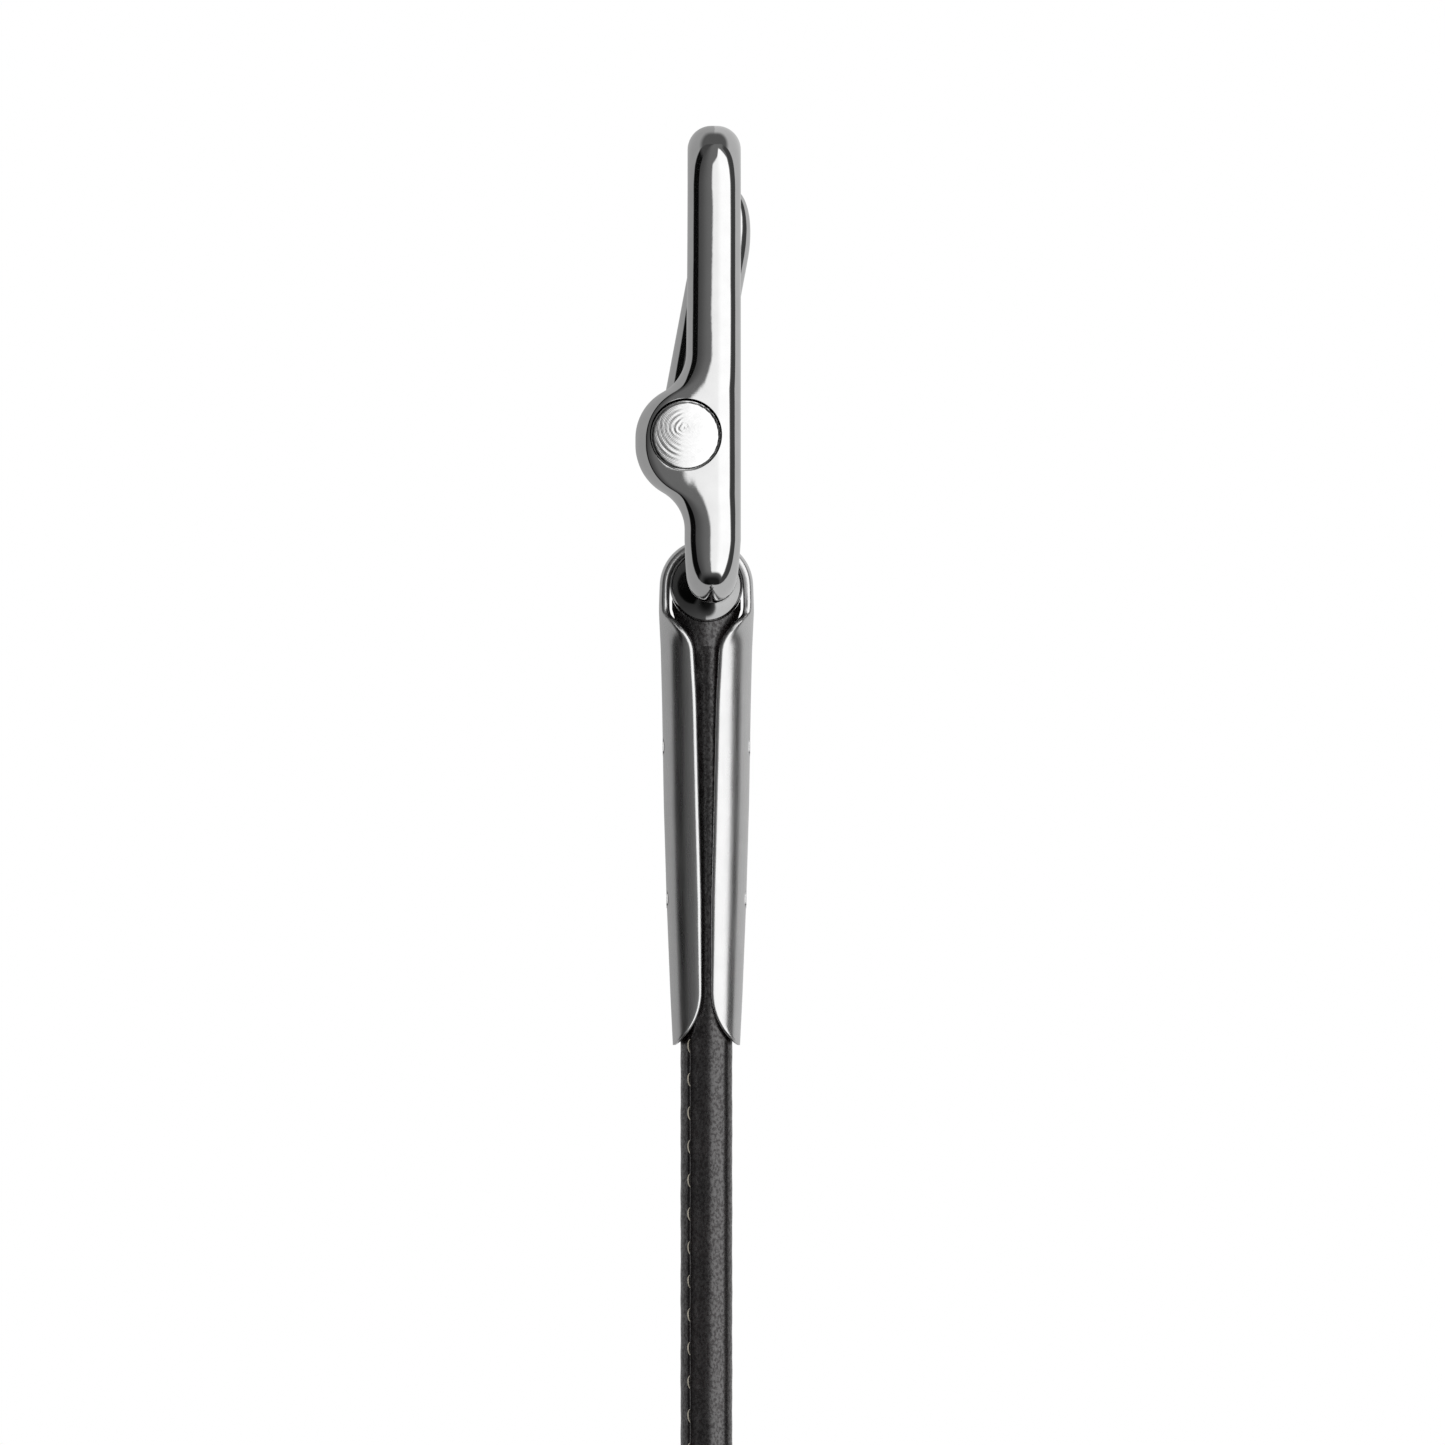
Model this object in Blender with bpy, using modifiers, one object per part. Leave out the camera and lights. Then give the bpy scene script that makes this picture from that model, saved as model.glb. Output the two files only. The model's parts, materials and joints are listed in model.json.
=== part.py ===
"""Riding crop with a hinged buckle at the hand end and a leather keeper at the tip.

The crop hangs down from the buckle: +Z is up, +X is the buckle's front, where its tongue opens, and Y runs
along the cross pin. The origin is under the middle of the buckle's top bar, where a hook carries the crop.
"""

from math import atan2, cos, hypot, pi, radians, sin, sqrt

import bmesh
import bpy
from mathutils import Matrix, Vector

MM = 0.001
GAP = 0.3  # clearance between touching pieces, in mm like every size below

# Buckle frame: a cast bar bent to a rounded rectangle, with a round boss on each side for the cross pin.
BAR = 6.4  # bar thickness in the plane of the frame
BAR_FRONT = 3.35
BAR_BACK_TOP = -3.3
BAR_BACK_LOW = -3.7
FRAME_WIDTH = 38.0
FRAME_BOTTOM = -53.2
CORNER = 4.8  # radius of the bar's centre line at a corner
EDGE_ROUND = 2.95  # rounding of the bar's long edges
LOW_BAR = 3.1  # radius of the lower bar beside its swell
LOW_BAR_X = -0.3
SWELL_R = 4.3  # the lower bar swells in the middle, and the clamp swings on the swell
SWELL_X = -0.95
SWELL_Z = -51.0
SWELL_HALF = 4.9
SWELL_END = 6.6

BOSS_X = -3.25
BOSS_HIGH = -32.6
BOSS_LOW = -33.5
BOSS_R = 6.55
BOSS_FILLET = 5.6

# Tongue seat: the top bar reaches down in the middle, hollowed to the tongue's shape.
SEAT_DROP = 5.2
SEAT_FLAT = 4.2
SEAT_END = 8.4

# Cross pin, riveted over in a counterbore on each side.
PIN_X = -3.5
PIN_Z = -32.3
PIN_SHANK = 3.1
PIN_HEAD = 4.35
PIN_HEAD_DEEP = 1.8
PIN_PROUD = 0.25

# Tongue: a stout round bar on a hub that turns on the pin.
HUB_R = 5.7
HUB_HALF = 5.2
TONGUE_LEAN = radians(10.6)
TONGUE_LONG = 31.6
TONGUE_THICK = 3.55
TONGUE_ROOT = 3.5
TONGUE_TIP = 2.6
NOSE = 8.5

# Clamp: one steel strip, folded over the lower bar and dished round the crop.
AXIS_X = SWELL_X  # the crop's axis
STRIP = 1.1
STRIP_TIP = 0.6
EYE_R = 5.85  # outside of the fold
EYE_Z = SWELL_Z
EYE_DISH = 0.03  # curvature across the strip at the fold, per mm
WAIST = 3.4  # half width of the strip at the fold
WING = 6.6  # half width at the shoulder of a cheek
WING_LOW = 6.1
NECK_Z = -54.6
SHOULDER_Z = -59.6
ROUND_Z = -103.0
ROUND_LONG = 5.8  # a cheek's end would close this far below ROUND_Z
ROUND_POWER = 2.6
CLAMP_TIP = -108.35
CHEEK = [(-51.0, 5.85), (-54.0, 5.95), (-59.0, 5.6), (-66.0, 5.35), (-78.0, 5.05),
         (-92.0, 4.75), (-102.0, 4.38), (-108.4, 4.1)]  # height, outside half width

# Crop: a tapered glass fibre core under a stitched leather cover.
COVER_R = 3.16
COVER_WALL = 0.8
COVER_TIP_R = 2.5
COVER_TOP = -55.9
CORE_R = COVER_R - COVER_WALL - GAP
CORE_TIP_R = COVER_TIP_R - COVER_WALL - GAP
CORE_TOP = -57.5
GRIP_TOP = -176.0
GRIP_BOTTOM = -346.0
GRIP_R = 6.2
GRIP_SWELL = 0.5
WRAP_WALL = 1.1
COLLAR_HIGH = 8.0
COLLAR_R = 6.6
COLLAR_LAP = 7.0  # how far a cover runs into its collar
COVER_END = -566.0
CORE_END = -576.0

RIVET_R = 0.8
RIVET_ROOM = 0.2  # clearance of the holes for the rivets
RIVETS_Z = (-71.0, -90.0)

# Keeper: two leather leaves on a stiffener, whipped to the tip and free to flex below the whipping.
LEAF = 1.3
STIFFENER = 0.6
NECK_HALF = 3.6
KEEPER_HALF = 14.0
KEEPER_ROUND = 9.0
KEEPER_TOP = -561.0
WHIP_TOP = -563.0
WHIP_END = -580.0
WHIP_WALL = 0.7
WHIP_ROUND = 2.3
BOARD_MARGIN = 2.4  # from a leaf's edge to the stiffener's
FLEX_Z = -588.0
FLEX_GAP = 1.8
KEEPER_WIDE = -606.0
KEEPER_END = -655.0

# Seam thread
THREAD = 0.22
SEAM_ANGLE = radians(-90 - 39)

STEEL = ("polished_steel", (0.66, 0.66, 0.66), 0.12, 1.0)
PIN_STEEL = ("turned_steel", (0.74, 0.74, 0.74), 0.22, 1.0)
LEATHER = ("dark_leather", (0.022, 0.019, 0.018), 0.45, 0.0)
GRIP_LEATHER = ("grip_leather", (0.018, 0.015, 0.014), 0.6, 0.0)
FIBRE = ("glass_fibre", (0.55, 0.52, 0.4), 0.4, 0.0)
CORK = ("cork", (0.5, 0.33, 0.19), 0.9, 0.0)
LINEN = ("linen_thread", (0.36, 0.33, 0.27), 0.8, 0.0)
BLACK_THREAD = ("waxed_thread", (0.02, 0.018, 0.017), 0.55, 0.0)
BOARD = ("leather_board", (0.16, 0.09, 0.05), 0.9, 0.0)


def clear_scene():
    for old in list(bpy.data.objects):
        bpy.data.objects.remove(old)


def collection(name):
    made = bpy.data.collections.new(name)
    bpy.context.scene.collection.children.link(made)
    return made


def material(finish):
    name, colour, roughness, metallic = finish
    made = bpy.data.materials.get(name)
    if made is None:
        made = bpy.data.materials.new(name)
        made.use_nodes = True
        shader = made.node_tree.nodes["Principled BSDF"]
        shader.inputs["Base Color"].default_value = (*colour, 1.0)
        shader.inputs["Roughness"].default_value = roughness
        shader.inputs["Metallic"].default_value = metallic
    return made


def place(bm, name, finish, home):
    """A new object from bm, whose points are in mm."""
    bmesh.ops.recalc_face_normals(bm, faces=bm.faces)
    bm.transform(Matrix.Scale(MM, 4))
    mesh = bpy.data.meshes.new(name)
    bm.to_mesh(mesh)
    bm.free()
    mesh.materials.append(material(finish))
    mesh.shade_smooth()
    mesh.set_sharp_from_angle(angle=radians(35))
    made = bpy.data.objects.new(name, mesh)
    home.objects.link(made)
    return made


def as_cutter(obj):
    obj.hide_render = True
    obj.display_type = "WIRE"
    return obj


def boolean(obj, operation, *others):
    for other in others:
        modifier = obj.modifiers.new(operation.lower() + "_" + other.name, "BOOLEAN")
        modifier.operation = operation
        modifier.object = other


def loft(name, rings, finish, home, capped=True):
    """A skin through rings of equally many points, in order."""
    bm = bmesh.new()
    rows = [[bm.verts.new(point) for point in ring] for ring in rings]
    for low, high in zip(rows, rows[1:]):
        for i in range(len(low)):
            j = (i + 1) % len(low)
            bm.faces.new((low[i], low[j], high[j], high[i]))
    if capped:
        bm.faces.new(rows[0])
        bm.faces.new(rows[-1])
    return place(bm, name, finish, home)


def cylinder(name, radius, start, end, finish, home, segments=32):
    """A cylinder between two points."""
    bm = bmesh.new()
    along = Vector(end) - Vector(start)
    turn = along.to_track_quat("Z", "Y").to_matrix().to_4x4()
    middle = Matrix.Translation((Vector(start) + Vector(end)) / 2)
    bmesh.ops.create_cone(bm, cap_ends=True, segments=segments, radius1=radius, radius2=radius,
                          depth=along.length, matrix=middle @ turn)
    return place(bm, name, finish, home)


def turned(name, profile, finish, home, steps=28):
    """A closed (radius, height) outline turned about the crop's axis, outer side listed downwards."""
    mesh = bpy.data.meshes.new(name)
    points = [(r * MM, 0.0, z * MM) for r, z in profile]
    edges = [(i, (i + 1) % len(points)) for i in range(len(points))]
    mesh.from_pydata(points, edges, [])
    mesh.materials.append(material(finish))
    made = bpy.data.objects.new(name, mesh)
    made.location = (AXIS_X * MM, 0.0, 0.0)
    home.objects.link(made)
    spin = made.modifiers.new("turn", "SCREW")
    spin.steps = steps
    spin.render_steps = steps
    spin.use_merge_vertices = True
    spin.merge_threshold = 0.00001
    return made


def smooth(share):
    share = min(max(share, 0.0), 1.0)
    return share * share * (3 - 2 * share)


def between(table, at):
    """A value from a table of (position, value), positions falling, eased through each entry."""
    for (a, low), (b, high) in zip(table, table[1:]):
        if at >= b:
            return low + (high - low) * min(max((a - at) / (a - b), 0.0), 1.0)
    return table[-1][1]


def rounded_section(x0, x1, n0, n1, radius, steps=3):
    """Points round a rectangle with round corners, as (x, n) pairs."""
    radius = min(radius, 0.49 * (x1 - x0), 0.49 * (n1 - n0))
    corners = ((x1, n1, 0), (x0, n1, 90), (x0, n0, 180), (x1, n0, 270))
    points = []
    for x, n, start in corners:
        cx = x - radius if x == x1 else x + radius
        cn = n - radius if n == n1 else n + radius
        for i in range(steps + 1):
            a = radians(start + 90 * i / steps)
            points.append((cx + radius * cos(a), cn + radius * sin(a)))
    return points


def bar_back(z):
    return BAR_BACK_TOP + (BAR_BACK_LOW - BAR_BACK_TOP) * smooth(z / FRAME_BOTTOM)


def back_edge(z):
    """The back of a side bar at height z: the bar, a fillet, the boss, a fillet and the bar again."""
    plain = bar_back(z)
    rise = abs(z - min(max(z, BOSS_LOW), BOSS_HIGH))
    fillet_x = plain - BOSS_FILLET
    reach = sqrt((BOSS_R + BOSS_FILLET) ** 2 - (BOSS_X - fillet_x) ** 2)
    touch = reach * BOSS_R / (BOSS_R + BOSS_FILLET)
    if rise <= touch:
        return BOSS_X - sqrt(BOSS_R**2 - rise**2)
    if rise < reach:
        return fillet_x + sqrt(BOSS_FILLET**2 - (reach - rise) ** 2)
    return plain


def seat_drop(y):
    """How far the top bar reaches below its plain underside, y from the middle."""
    return SEAT_DROP * (1 - smooth((y - SEAT_FLAT) / (SEAT_END - SEAT_FLAT)))


def swell(y):
    """0 on the plain lower bar and 1 on its swell, y from the middle."""
    return smooth((SWELL_END - y) / (SWELL_END - SWELL_HALF))


def frame_stations():
    """Half of the frame's centre line, from the middle of the top bar to the middle of the bottom one."""
    half = FRAME_WIDTH / 2 - BAR / 2
    top = BAR / 2
    low = FRAME_BOTTOM + LOW_BAR
    for y in (0.0, 2.6, 4.2, 5.0, 5.8, 6.6, 7.4, 8.4):
        yield y, top, 0.0, 1.0, 0.0
    for i in range(7):
        a = radians(90 - 15 * i)
        yield half - CORNER + CORNER * cos(a), top - CORNER + CORNER * sin(a), cos(a), sin(a), 0.0
    for z in (-8.0, -16.0, -20.5, -22.5, -24.0, -25.2, -26.2, -27.2, -28.4, -30.0, -32.6, -33.5, -36.0,
              -37.6, -38.8, -39.8, -40.8, -42.0, -43.4):
        yield half, z, 1.0, 0.0, 0.0
    for i in range(7):
        a = radians(-15 * i)
        yield half - CORNER + CORNER * cos(a), low + CORNER + CORNER * sin(a), cos(a), sin(a), i / 6
    for y in (8.4, SWELL_END, 6.3, 6.0, 5.75, 5.5, 5.2, SWELL_HALF, 2.4, 0.0):
        yield y, low + (SWELL_Z - low) * swell(y), 0.0, -1.0, 1.0


def frame_section(y, z, out_y, out_z, low_bar):
    """The bar's section at one station; low_bar goes from 0 to 1 as it turns into the round lower bar."""
    share = swell(y) if low_bar == 1.0 else 0.0
    radius = LOW_BAR + (SWELL_R - LOW_BAR) * share
    middle = LOW_BAR_X + (SWELL_X - LOW_BAR_X) * share
    half = BAR / 2 + (radius - BAR / 2) * low_bar
    inside = half + (seat_drop(y) if out_z == 1.0 else 0.0)
    back = back_edge(z) + (middle - radius - back_edge(z)) * low_bar
    front = BAR_FRONT + (middle + radius - BAR_FRONT) * low_bar
    rounding = EDGE_ROUND + (radius - EDGE_ROUND) * low_bar
    return [(x, y + out_y * n, z + out_z * n)
            for x, n in rounded_section(back, front, -inside, half, rounding)]


def tongue_point(along, off):
    """A point on the tongue: along its centre line from the pin, and off it towards the front."""
    return (PIN_X + along * sin(TONGUE_LEAN) + off * cos(TONGUE_LEAN),
            PIN_Z + along * cos(TONGUE_LEAN) - off * sin(TONGUE_LEAN))


def tongue_size(along):
    """Half thickness and half width of the tongue at a place on its centre line."""
    nose = max(0.0, (along - (TONGUE_LONG - NOSE)) / NOSE)
    shrink = sqrt(max(0.0, 1 - nose * nose))
    wide = TONGUE_ROOT + (TONGUE_TIP - TONGUE_ROOT) * smooth((along - 6) / 16)
    return TONGUE_THICK * shrink, wide * shrink


def tongue_stations():
    plain = TONGUE_LONG - NOSE
    return [0.0, 7.0, 12.0, 17.0, plain] + [plain + NOSE * sin(radians(a)) for a in (18, 36, 52, 66, 77, 85)]


def tongue_rings(grow=0.0, open_front=0.0, steps=16):
    """Oval rings along the tongue, grown all over; open_front draws their front halves out to a slot."""
    rings = []
    for along in tongue_stations():
        thick, wide = tongue_size(along)
        ring = []
        for i in range(steps):
            a = 2 * pi * (i + 0.5) / steps
            off = (thick + grow) * cos(a)
            side = (wide + grow) * sin(a)
            if open_front and off > 0:
                off = open_front
                side = (wide + grow) * (1 if side > 0 else -1)
            x, z = tongue_point(along + (grow if along > TONGUE_LONG - NOSE else 0.0), off)
            ring.append((x, side, z))
        rings.append(ring)
    return rings


def build_buckle(home, cutters):
    frame = loft("buckle_frame", [frame_section(*s) for s in frame_stations()], STEEL, home, capped=False)
    mirror = frame.modifiers.new("other_side", "MIRROR")
    mirror.use_axis = (False, True, False)
    mirror.merge_threshold = 0.00001
    side = FRAME_WIDTH / 2
    face = side - PIN_HEAD_DEEP + PIN_PROUD
    bore = as_cutter(cylinder("pin_bore", PIN_SHANK + GAP, (PIN_X, -side - 2, PIN_Z), (PIN_X, side + 2, PIN_Z),
                              STEEL, cutters))
    sinks = [as_cutter(cylinder("pin_sink_" + word, PIN_HEAD + GAP, (PIN_X, sign * (face - GAP), PIN_Z),
                                (PIN_X, sign * (side + 3), PIN_Z), STEEL, cutters))
             for word, sign in (("near", -1), ("far", 1))]
    seat = as_cutter(loft("seat_cutter", tongue_rings(GAP, open_front=9.0), STEEL, cutters))
    boolean(frame, "DIFFERENCE", bore, *sinks, seat)

    end = side + PIN_PROUD
    inner = end - PIN_HEAD_DEEP
    pin = cylinder("cross_pin", PIN_SHANK, (PIN_X, -end + 0.5, PIN_Z), (PIN_X, end - 0.5, PIN_Z), PIN_STEEL, home)
    heads = [as_cutter(cylinder("pin_head_" + word, PIN_HEAD, (PIN_X, sign * inner, PIN_Z),
                                (PIN_X, sign * end, PIN_Z), PIN_STEEL, cutters))
             for word, sign in (("near", -1), ("far", 1))]
    boolean(pin, "UNION", *heads)

    tongue = loft("tongue", tongue_rings(), STEEL, home)
    hub = as_cutter(cylinder("tongue_hub", HUB_R, (PIN_X, -HUB_HALF, PIN_Z), (PIN_X, HUB_HALF, PIN_Z),
                             STEEL, cutters))
    hub_bore = as_cutter(cylinder("hub_bore", PIN_SHANK + GAP, (PIN_X, -HUB_HALF - 2, PIN_Z),
                                  (PIN_X, HUB_HALF + 2, PIN_Z), STEEL, cutters))
    boolean(tongue, "UNION", hub)
    boolean(tongue, "DIFFERENCE", hub_bore)


def clamp_stations():
    """Stations along the strip from one tip over the fold to the other: x, z, inward x, inward z, thickness,
    half width and curvature across the strip."""
    side = []
    heights = [ROUND_Z + (CLAMP_TIP - ROUND_Z) * share for share in (1.0, 0.93, 0.83, 0.7, 0.55, 0.35, 0.0)]
    heights += [-96.0, -86.0, -76.0, -68.0, -62.0, SHOULDER_Z]
    heights += [NECK_Z + (SHOULDER_Z - NECK_Z) * share for share in (0.8, 0.62, 0.45, 0.3, 0.15, 0.0)]
    for z in heights:
        half = between(CHEEK, z)
        full = WING_LOW + (WING - WING_LOW) * smooth((z - ROUND_Z) / (SHOULDER_Z - ROUND_Z))
        if z < ROUND_Z:
            width = full * sqrt(1 - ((ROUND_Z - z) / ROUND_LONG) ** ROUND_POWER)
        elif z > SHOULDER_Z:
            rise = (z - SHOULDER_Z) / (NECK_Z - SHOULDER_Z)
            width = WAIST + (WING - WAIST) * sqrt(max(0.0, 1 - rise * rise))
        else:
            width = full
        dish = smooth((NECK_Z + 2 - z) / (NECK_Z + 2 - SHOULDER_Z))
        bend = EYE_DISH + (1 / half - EYE_DISH) * dish
        thick = STRIP_TIP + (STRIP - STRIP_TIP) * smooth((z - CLAMP_TIP) / 20)
        side.append((half, z, thick, width, bend))
    left = [(AXIS_X - half, z, 1.0, 0.0, thick, width, bend) for half, z, thick, width, bend in side]
    arch = []
    for i in range(13):
        a = pi - pi * i / 12
        arch.append((AXIS_X + EYE_R * cos(a), EYE_Z + EYE_R * sin(a), -cos(a), -sin(a), STRIP, WAIST, EYE_DISH))
    right = [(2 * AXIS_X - x, z, -1.0, 0.0, thick, width, bend) for x, z, _, _, thick, width, bend in left[::-1]]
    return left + arch + right


def clamp_ring(x, z, in_x, in_z, thick, width, bend, steps=8):
    """The strip's section at one station: its outside from edge to edge, then its inside back."""
    outside, inside = [], []
    for i in range(steps + 1):
        a = bend * width * (2 * i / steps - 1)
        lift = (1 - cos(a)) / bend
        outside.append((x + in_x * lift, sin(a) / bend, z + in_z * lift))
        lift += thick * cos(a)
        inside.append((x + in_x * lift, sin(a) / bend - thick * sin(a), z + in_z * lift))
    return outside + inside[::-1]


def build_clamp(home, cutters):
    clamp = loft("clamp", [clamp_ring(*station) for station in clamp_stations()], STEEL, home)
    holes = []
    for word, z in zip(("upper", "lower"), RIVETS_Z):
        reach = between(CHEEK, z)
        cylinder(word + "_rivet", RIVET_R, (AXIS_X - reach, 0, z), (AXIS_X + reach, 0, z), PIN_STEEL, home, 16)
        holes.append(as_cutter(cylinder(word + "_rivet_hole", RIVET_R + RIVET_ROOM, (AXIS_X - 9, 0, z),
                                        (AXIS_X + 9, 0, z), STEEL, cutters, 16)))
    boolean(clamp, "DIFFERENCE", *holes)
    return holes


def cover_radius(z):
    """The leather cover's outside radius: even down to the grip, then a long taper to the tip."""
    return COVER_R + (COVER_TIP_R - COVER_R) * max(0.0, (GRIP_BOTTOM - z) / (GRIP_BOTTOM - COVER_END))


def tube(name, top, bottom, outside, wall, finish, home, steps=28):
    """A turned tube whose outside radius is given at its top and bottom."""
    high, low = outside
    return turned(name, [(high, top), (low, bottom), (low - wall, bottom), (high - wall, top)], finish, home, steps)


def build_crop(home, holes):
    core = turned("core_rod", [(0.0, CORE_TOP), (CORE_R, CORE_TOP), (CORE_R, GRIP_BOTTOM),
                               (CORE_TIP_R, CORE_END), (0.0, CORE_END)], FIBRE, home, 20)
    upper = tube("upper_cover", COVER_TOP, GRIP_TOP - COLLAR_LAP, (COVER_R, COVER_R), COVER_WALL,
                 LEATHER, home)
    tube("lower_cover", GRIP_BOTTOM + COLLAR_LAP, COVER_END,
         (COVER_R, COVER_TIP_R), COVER_WALL, LEATHER, home)
    boolean(core, "DIFFERENCE", *holes)
    boolean(upper, "DIFFERENCE", *holes)

    middle = (GRIP_TOP + GRIP_BOTTOM) / 2
    half = (GRIP_TOP - GRIP_BOTTOM) / 2 - COLLAR_HIGH
    heights = [middle + half * (1 - i / 5) for i in range(11)]
    swell = [(GRIP_R + GRIP_SWELL * (1 - ((z - middle) / half) ** 2), z) for z in heights]
    wrap_ends = swell[0][1] - GAP, swell[-1][1] + GAP
    outer = [(r, min(max(z, wrap_ends[1]), wrap_ends[0])) for r, z in swell]
    inner = [(r - WRAP_WALL, z) for r, z in outer]
    turned("grip_wrap", outer + inner[::-1], GRIP_LEATHER, home)
    cork = [(r - WRAP_WALL - GAP, z) for r, z in outer]
    turned("grip_cork", cork + [(CORE_R + GAP, cork[-1][1]), (CORE_R + GAP, cork[0][1])], CORK, home)

    bore = COVER_R + GAP
    for name, z, down in (("upper_collar", GRIP_TOP, -1), ("lower_collar", GRIP_BOTTOM, 1)):
        profile = [(COLLAR_R - 1.6, z), (COLLAR_R - 0.5, z + down * 1.2), (COLLAR_R, z + down * 3.0),
                   (COLLAR_R, z + down * (COLLAR_HIGH - 1.2)), (COLLAR_R - 0.4, z + down * COLLAR_HIGH),
                   (bore, z + down * COLLAR_HIGH), (bore, z)]
        turned(name, profile if down < 0 else profile[::-1], STEEL, home)


def keeper_half(z):
    """Half width of a keeper leaf at height z: neck, flare, blade and round end."""
    if z > FLEX_Z:
        return NECK_HALF
    flare = NECK_HALF + (KEEPER_HALF - NECK_HALF) * smooth((FLEX_Z - z) / (FLEX_Z - KEEPER_WIDE))
    low = KEEPER_END + KEEPER_ROUND
    if z >= low:
        return flare
    share = (low - z) / KEEPER_ROUND
    return KEEPER_HALF - KEEPER_ROUND * (1 - sqrt(max(0.0, 1 - share * share)))


def leaf_face(z):
    """How far a leaf's inner face stands off the crop's axis: clear of the tip, then on the stiffener."""
    beside_tip = COVER_TIP_R + GAP + 0.15
    on_board = STIFFENER / 2 + GAP
    return beside_tip + (on_board - beside_tip) * smooth((CORE_END + 2 - z) / 10)


def leaf(name, sign, heights, finish, home):
    rings = []
    for z in heights:
        half = keeper_half(z)
        near = AXIS_X + sign * leaf_face(z)
        far = near + sign * LEAF
        rings.append([(near, -half, z), (near, half, z), (far, half, z), (far, -half, z)])
    return loft(name, rings, finish, home)


def build_keeper(home):
    neck = [KEEPER_TOP, CORE_END + 2, CORE_END, CORE_END - 2, CORE_END - 4, CORE_END - 6, CORE_END - 8,
            FLEX_Z + FLEX_GAP / 2]
    blade = [FLEX_Z - FLEX_GAP / 2]
    blade += [FLEX_Z + (KEEPER_WIDE - FLEX_Z) * i / 8 for i in range(1, 9)]
    blade += [KEEPER_END + KEEPER_ROUND * (1 - sin(radians(a))) for a in range(0, 90, 10)] + [KEEPER_END]
    for word, sign in (("front", 1), ("back", -1)):
        leaf("keeper_neck_" + word, sign, neck, LEATHER, home)
        leaf("keeper_" + word, sign, blade, LEATHER, home)
    rings = []
    for z in [z for z in blade[3:] if z > KEEPER_END + 2 * BOARD_MARGIN]:
        half = keeper_half(z) - BOARD_MARGIN
        x0, x1 = AXIS_X - STIFFENER / 2, AXIS_X + STIFFENER / 2
        rings.append([(x0, -half, z), (x0, half, z), (x1, half, z), (x1, -half, z)])
    loft("keeper_board", rings, BOARD, home)

    face = leaf_face(WHIP_TOP) + LEAF + GAP
    whip = []
    for z in (WHIP_TOP, WHIP_END):
        outer = rounded_section(-face - WHIP_WALL, face + WHIP_WALL, -NECK_HALF - GAP - WHIP_WALL,
                                NECK_HALF + GAP + WHIP_WALL, WHIP_ROUND)
        whip.append([(AXIS_X + x, y, z) for x, y in outer])
    body = loft("keeper_whipping", whip, BLACK_THREAD, home)
    hollow = []
    for z in (WHIP_TOP + 2, WHIP_END - 2):
        inner = rounded_section(-face, face, -NECK_HALF - GAP, NECK_HALF + GAP, 0.4)
        hollow.append([(AXIS_X + x, y, z) for x, y in inner])
    return body, hollow


def seam_thread(name, top, bottom, home):
    """The thread of the cover's seam, along the outside of the leather."""
    line = bpy.data.curves.new(name, "CURVE")
    line.dimensions = "3D"
    line.bevel_depth = THREAD * MM
    line.bevel_resolution = 1
    line.use_fill_caps = True
    spline = line.splines.new("POLY")
    heights = [top, bottom]
    spline.points.add(len(heights) - 1)
    for point, z in zip(spline.points, heights):
        out = cover_radius(z) + GAP + THREAD
        point.co = ((AXIS_X + out * cos(SEAM_ANGLE)) * MM, out * sin(SEAM_ANGLE) * MM, z * MM, 1.0)
    line.materials.append(material(LINEN))
    made = bpy.data.objects.new(name, line)
    home.objects.link(made)


def main():
    clear_scene()
    home = collection("riding_crop")
    cutters = collection("cutters")
    build_buckle(home, cutters)
    holes = build_clamp(home, cutters)
    build_crop(home, holes)
    body, hollow = build_keeper(home)
    boolean(body, "DIFFERENCE", as_cutter(loft("whip_hollow", hollow, BLACK_THREAD, cutters)))
    seam_thread("upper_seam_thread", CLAMP_TIP - 2.0, GRIP_TOP + 2.0, home)
    seam_thread("lower_seam_thread", GRIP_BOTTOM - 2.0, WHIP_TOP + 6.0, home)


main()
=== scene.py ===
"""The looks of a riding crop: steel buckle and clamp, stitched leather covers, wound grip and keeper.

Every piece is worked out in millimetres in the frame's own axes and made a mesh in metres.
"""

import json
from math import atan2, cos, hypot, pi, radians, sin, sqrt, tan

import bmesh
import bpy
import numpy as np
from mathutils import Matrix, Vector


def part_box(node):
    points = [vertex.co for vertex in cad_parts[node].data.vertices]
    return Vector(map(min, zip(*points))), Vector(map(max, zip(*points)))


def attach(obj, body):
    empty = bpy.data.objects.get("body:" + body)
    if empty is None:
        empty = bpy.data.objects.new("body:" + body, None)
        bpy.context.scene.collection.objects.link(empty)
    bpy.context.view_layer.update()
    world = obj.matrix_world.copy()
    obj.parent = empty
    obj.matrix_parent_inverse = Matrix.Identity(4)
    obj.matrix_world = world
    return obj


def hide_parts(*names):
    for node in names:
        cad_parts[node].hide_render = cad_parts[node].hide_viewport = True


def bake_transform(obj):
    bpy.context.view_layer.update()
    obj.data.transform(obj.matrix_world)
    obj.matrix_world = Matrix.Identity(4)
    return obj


bl_info = {
    "name": "Riding crop",
    "version": (1, 0, 0),
    "blender": (4, 5, 0),
    "location": "3D View > Sidebar > Riding crop",
    "description": "Models the steel, leather and stitching of a riding crop round its packed frame",
    "category": "Add Mesh",
}

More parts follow.
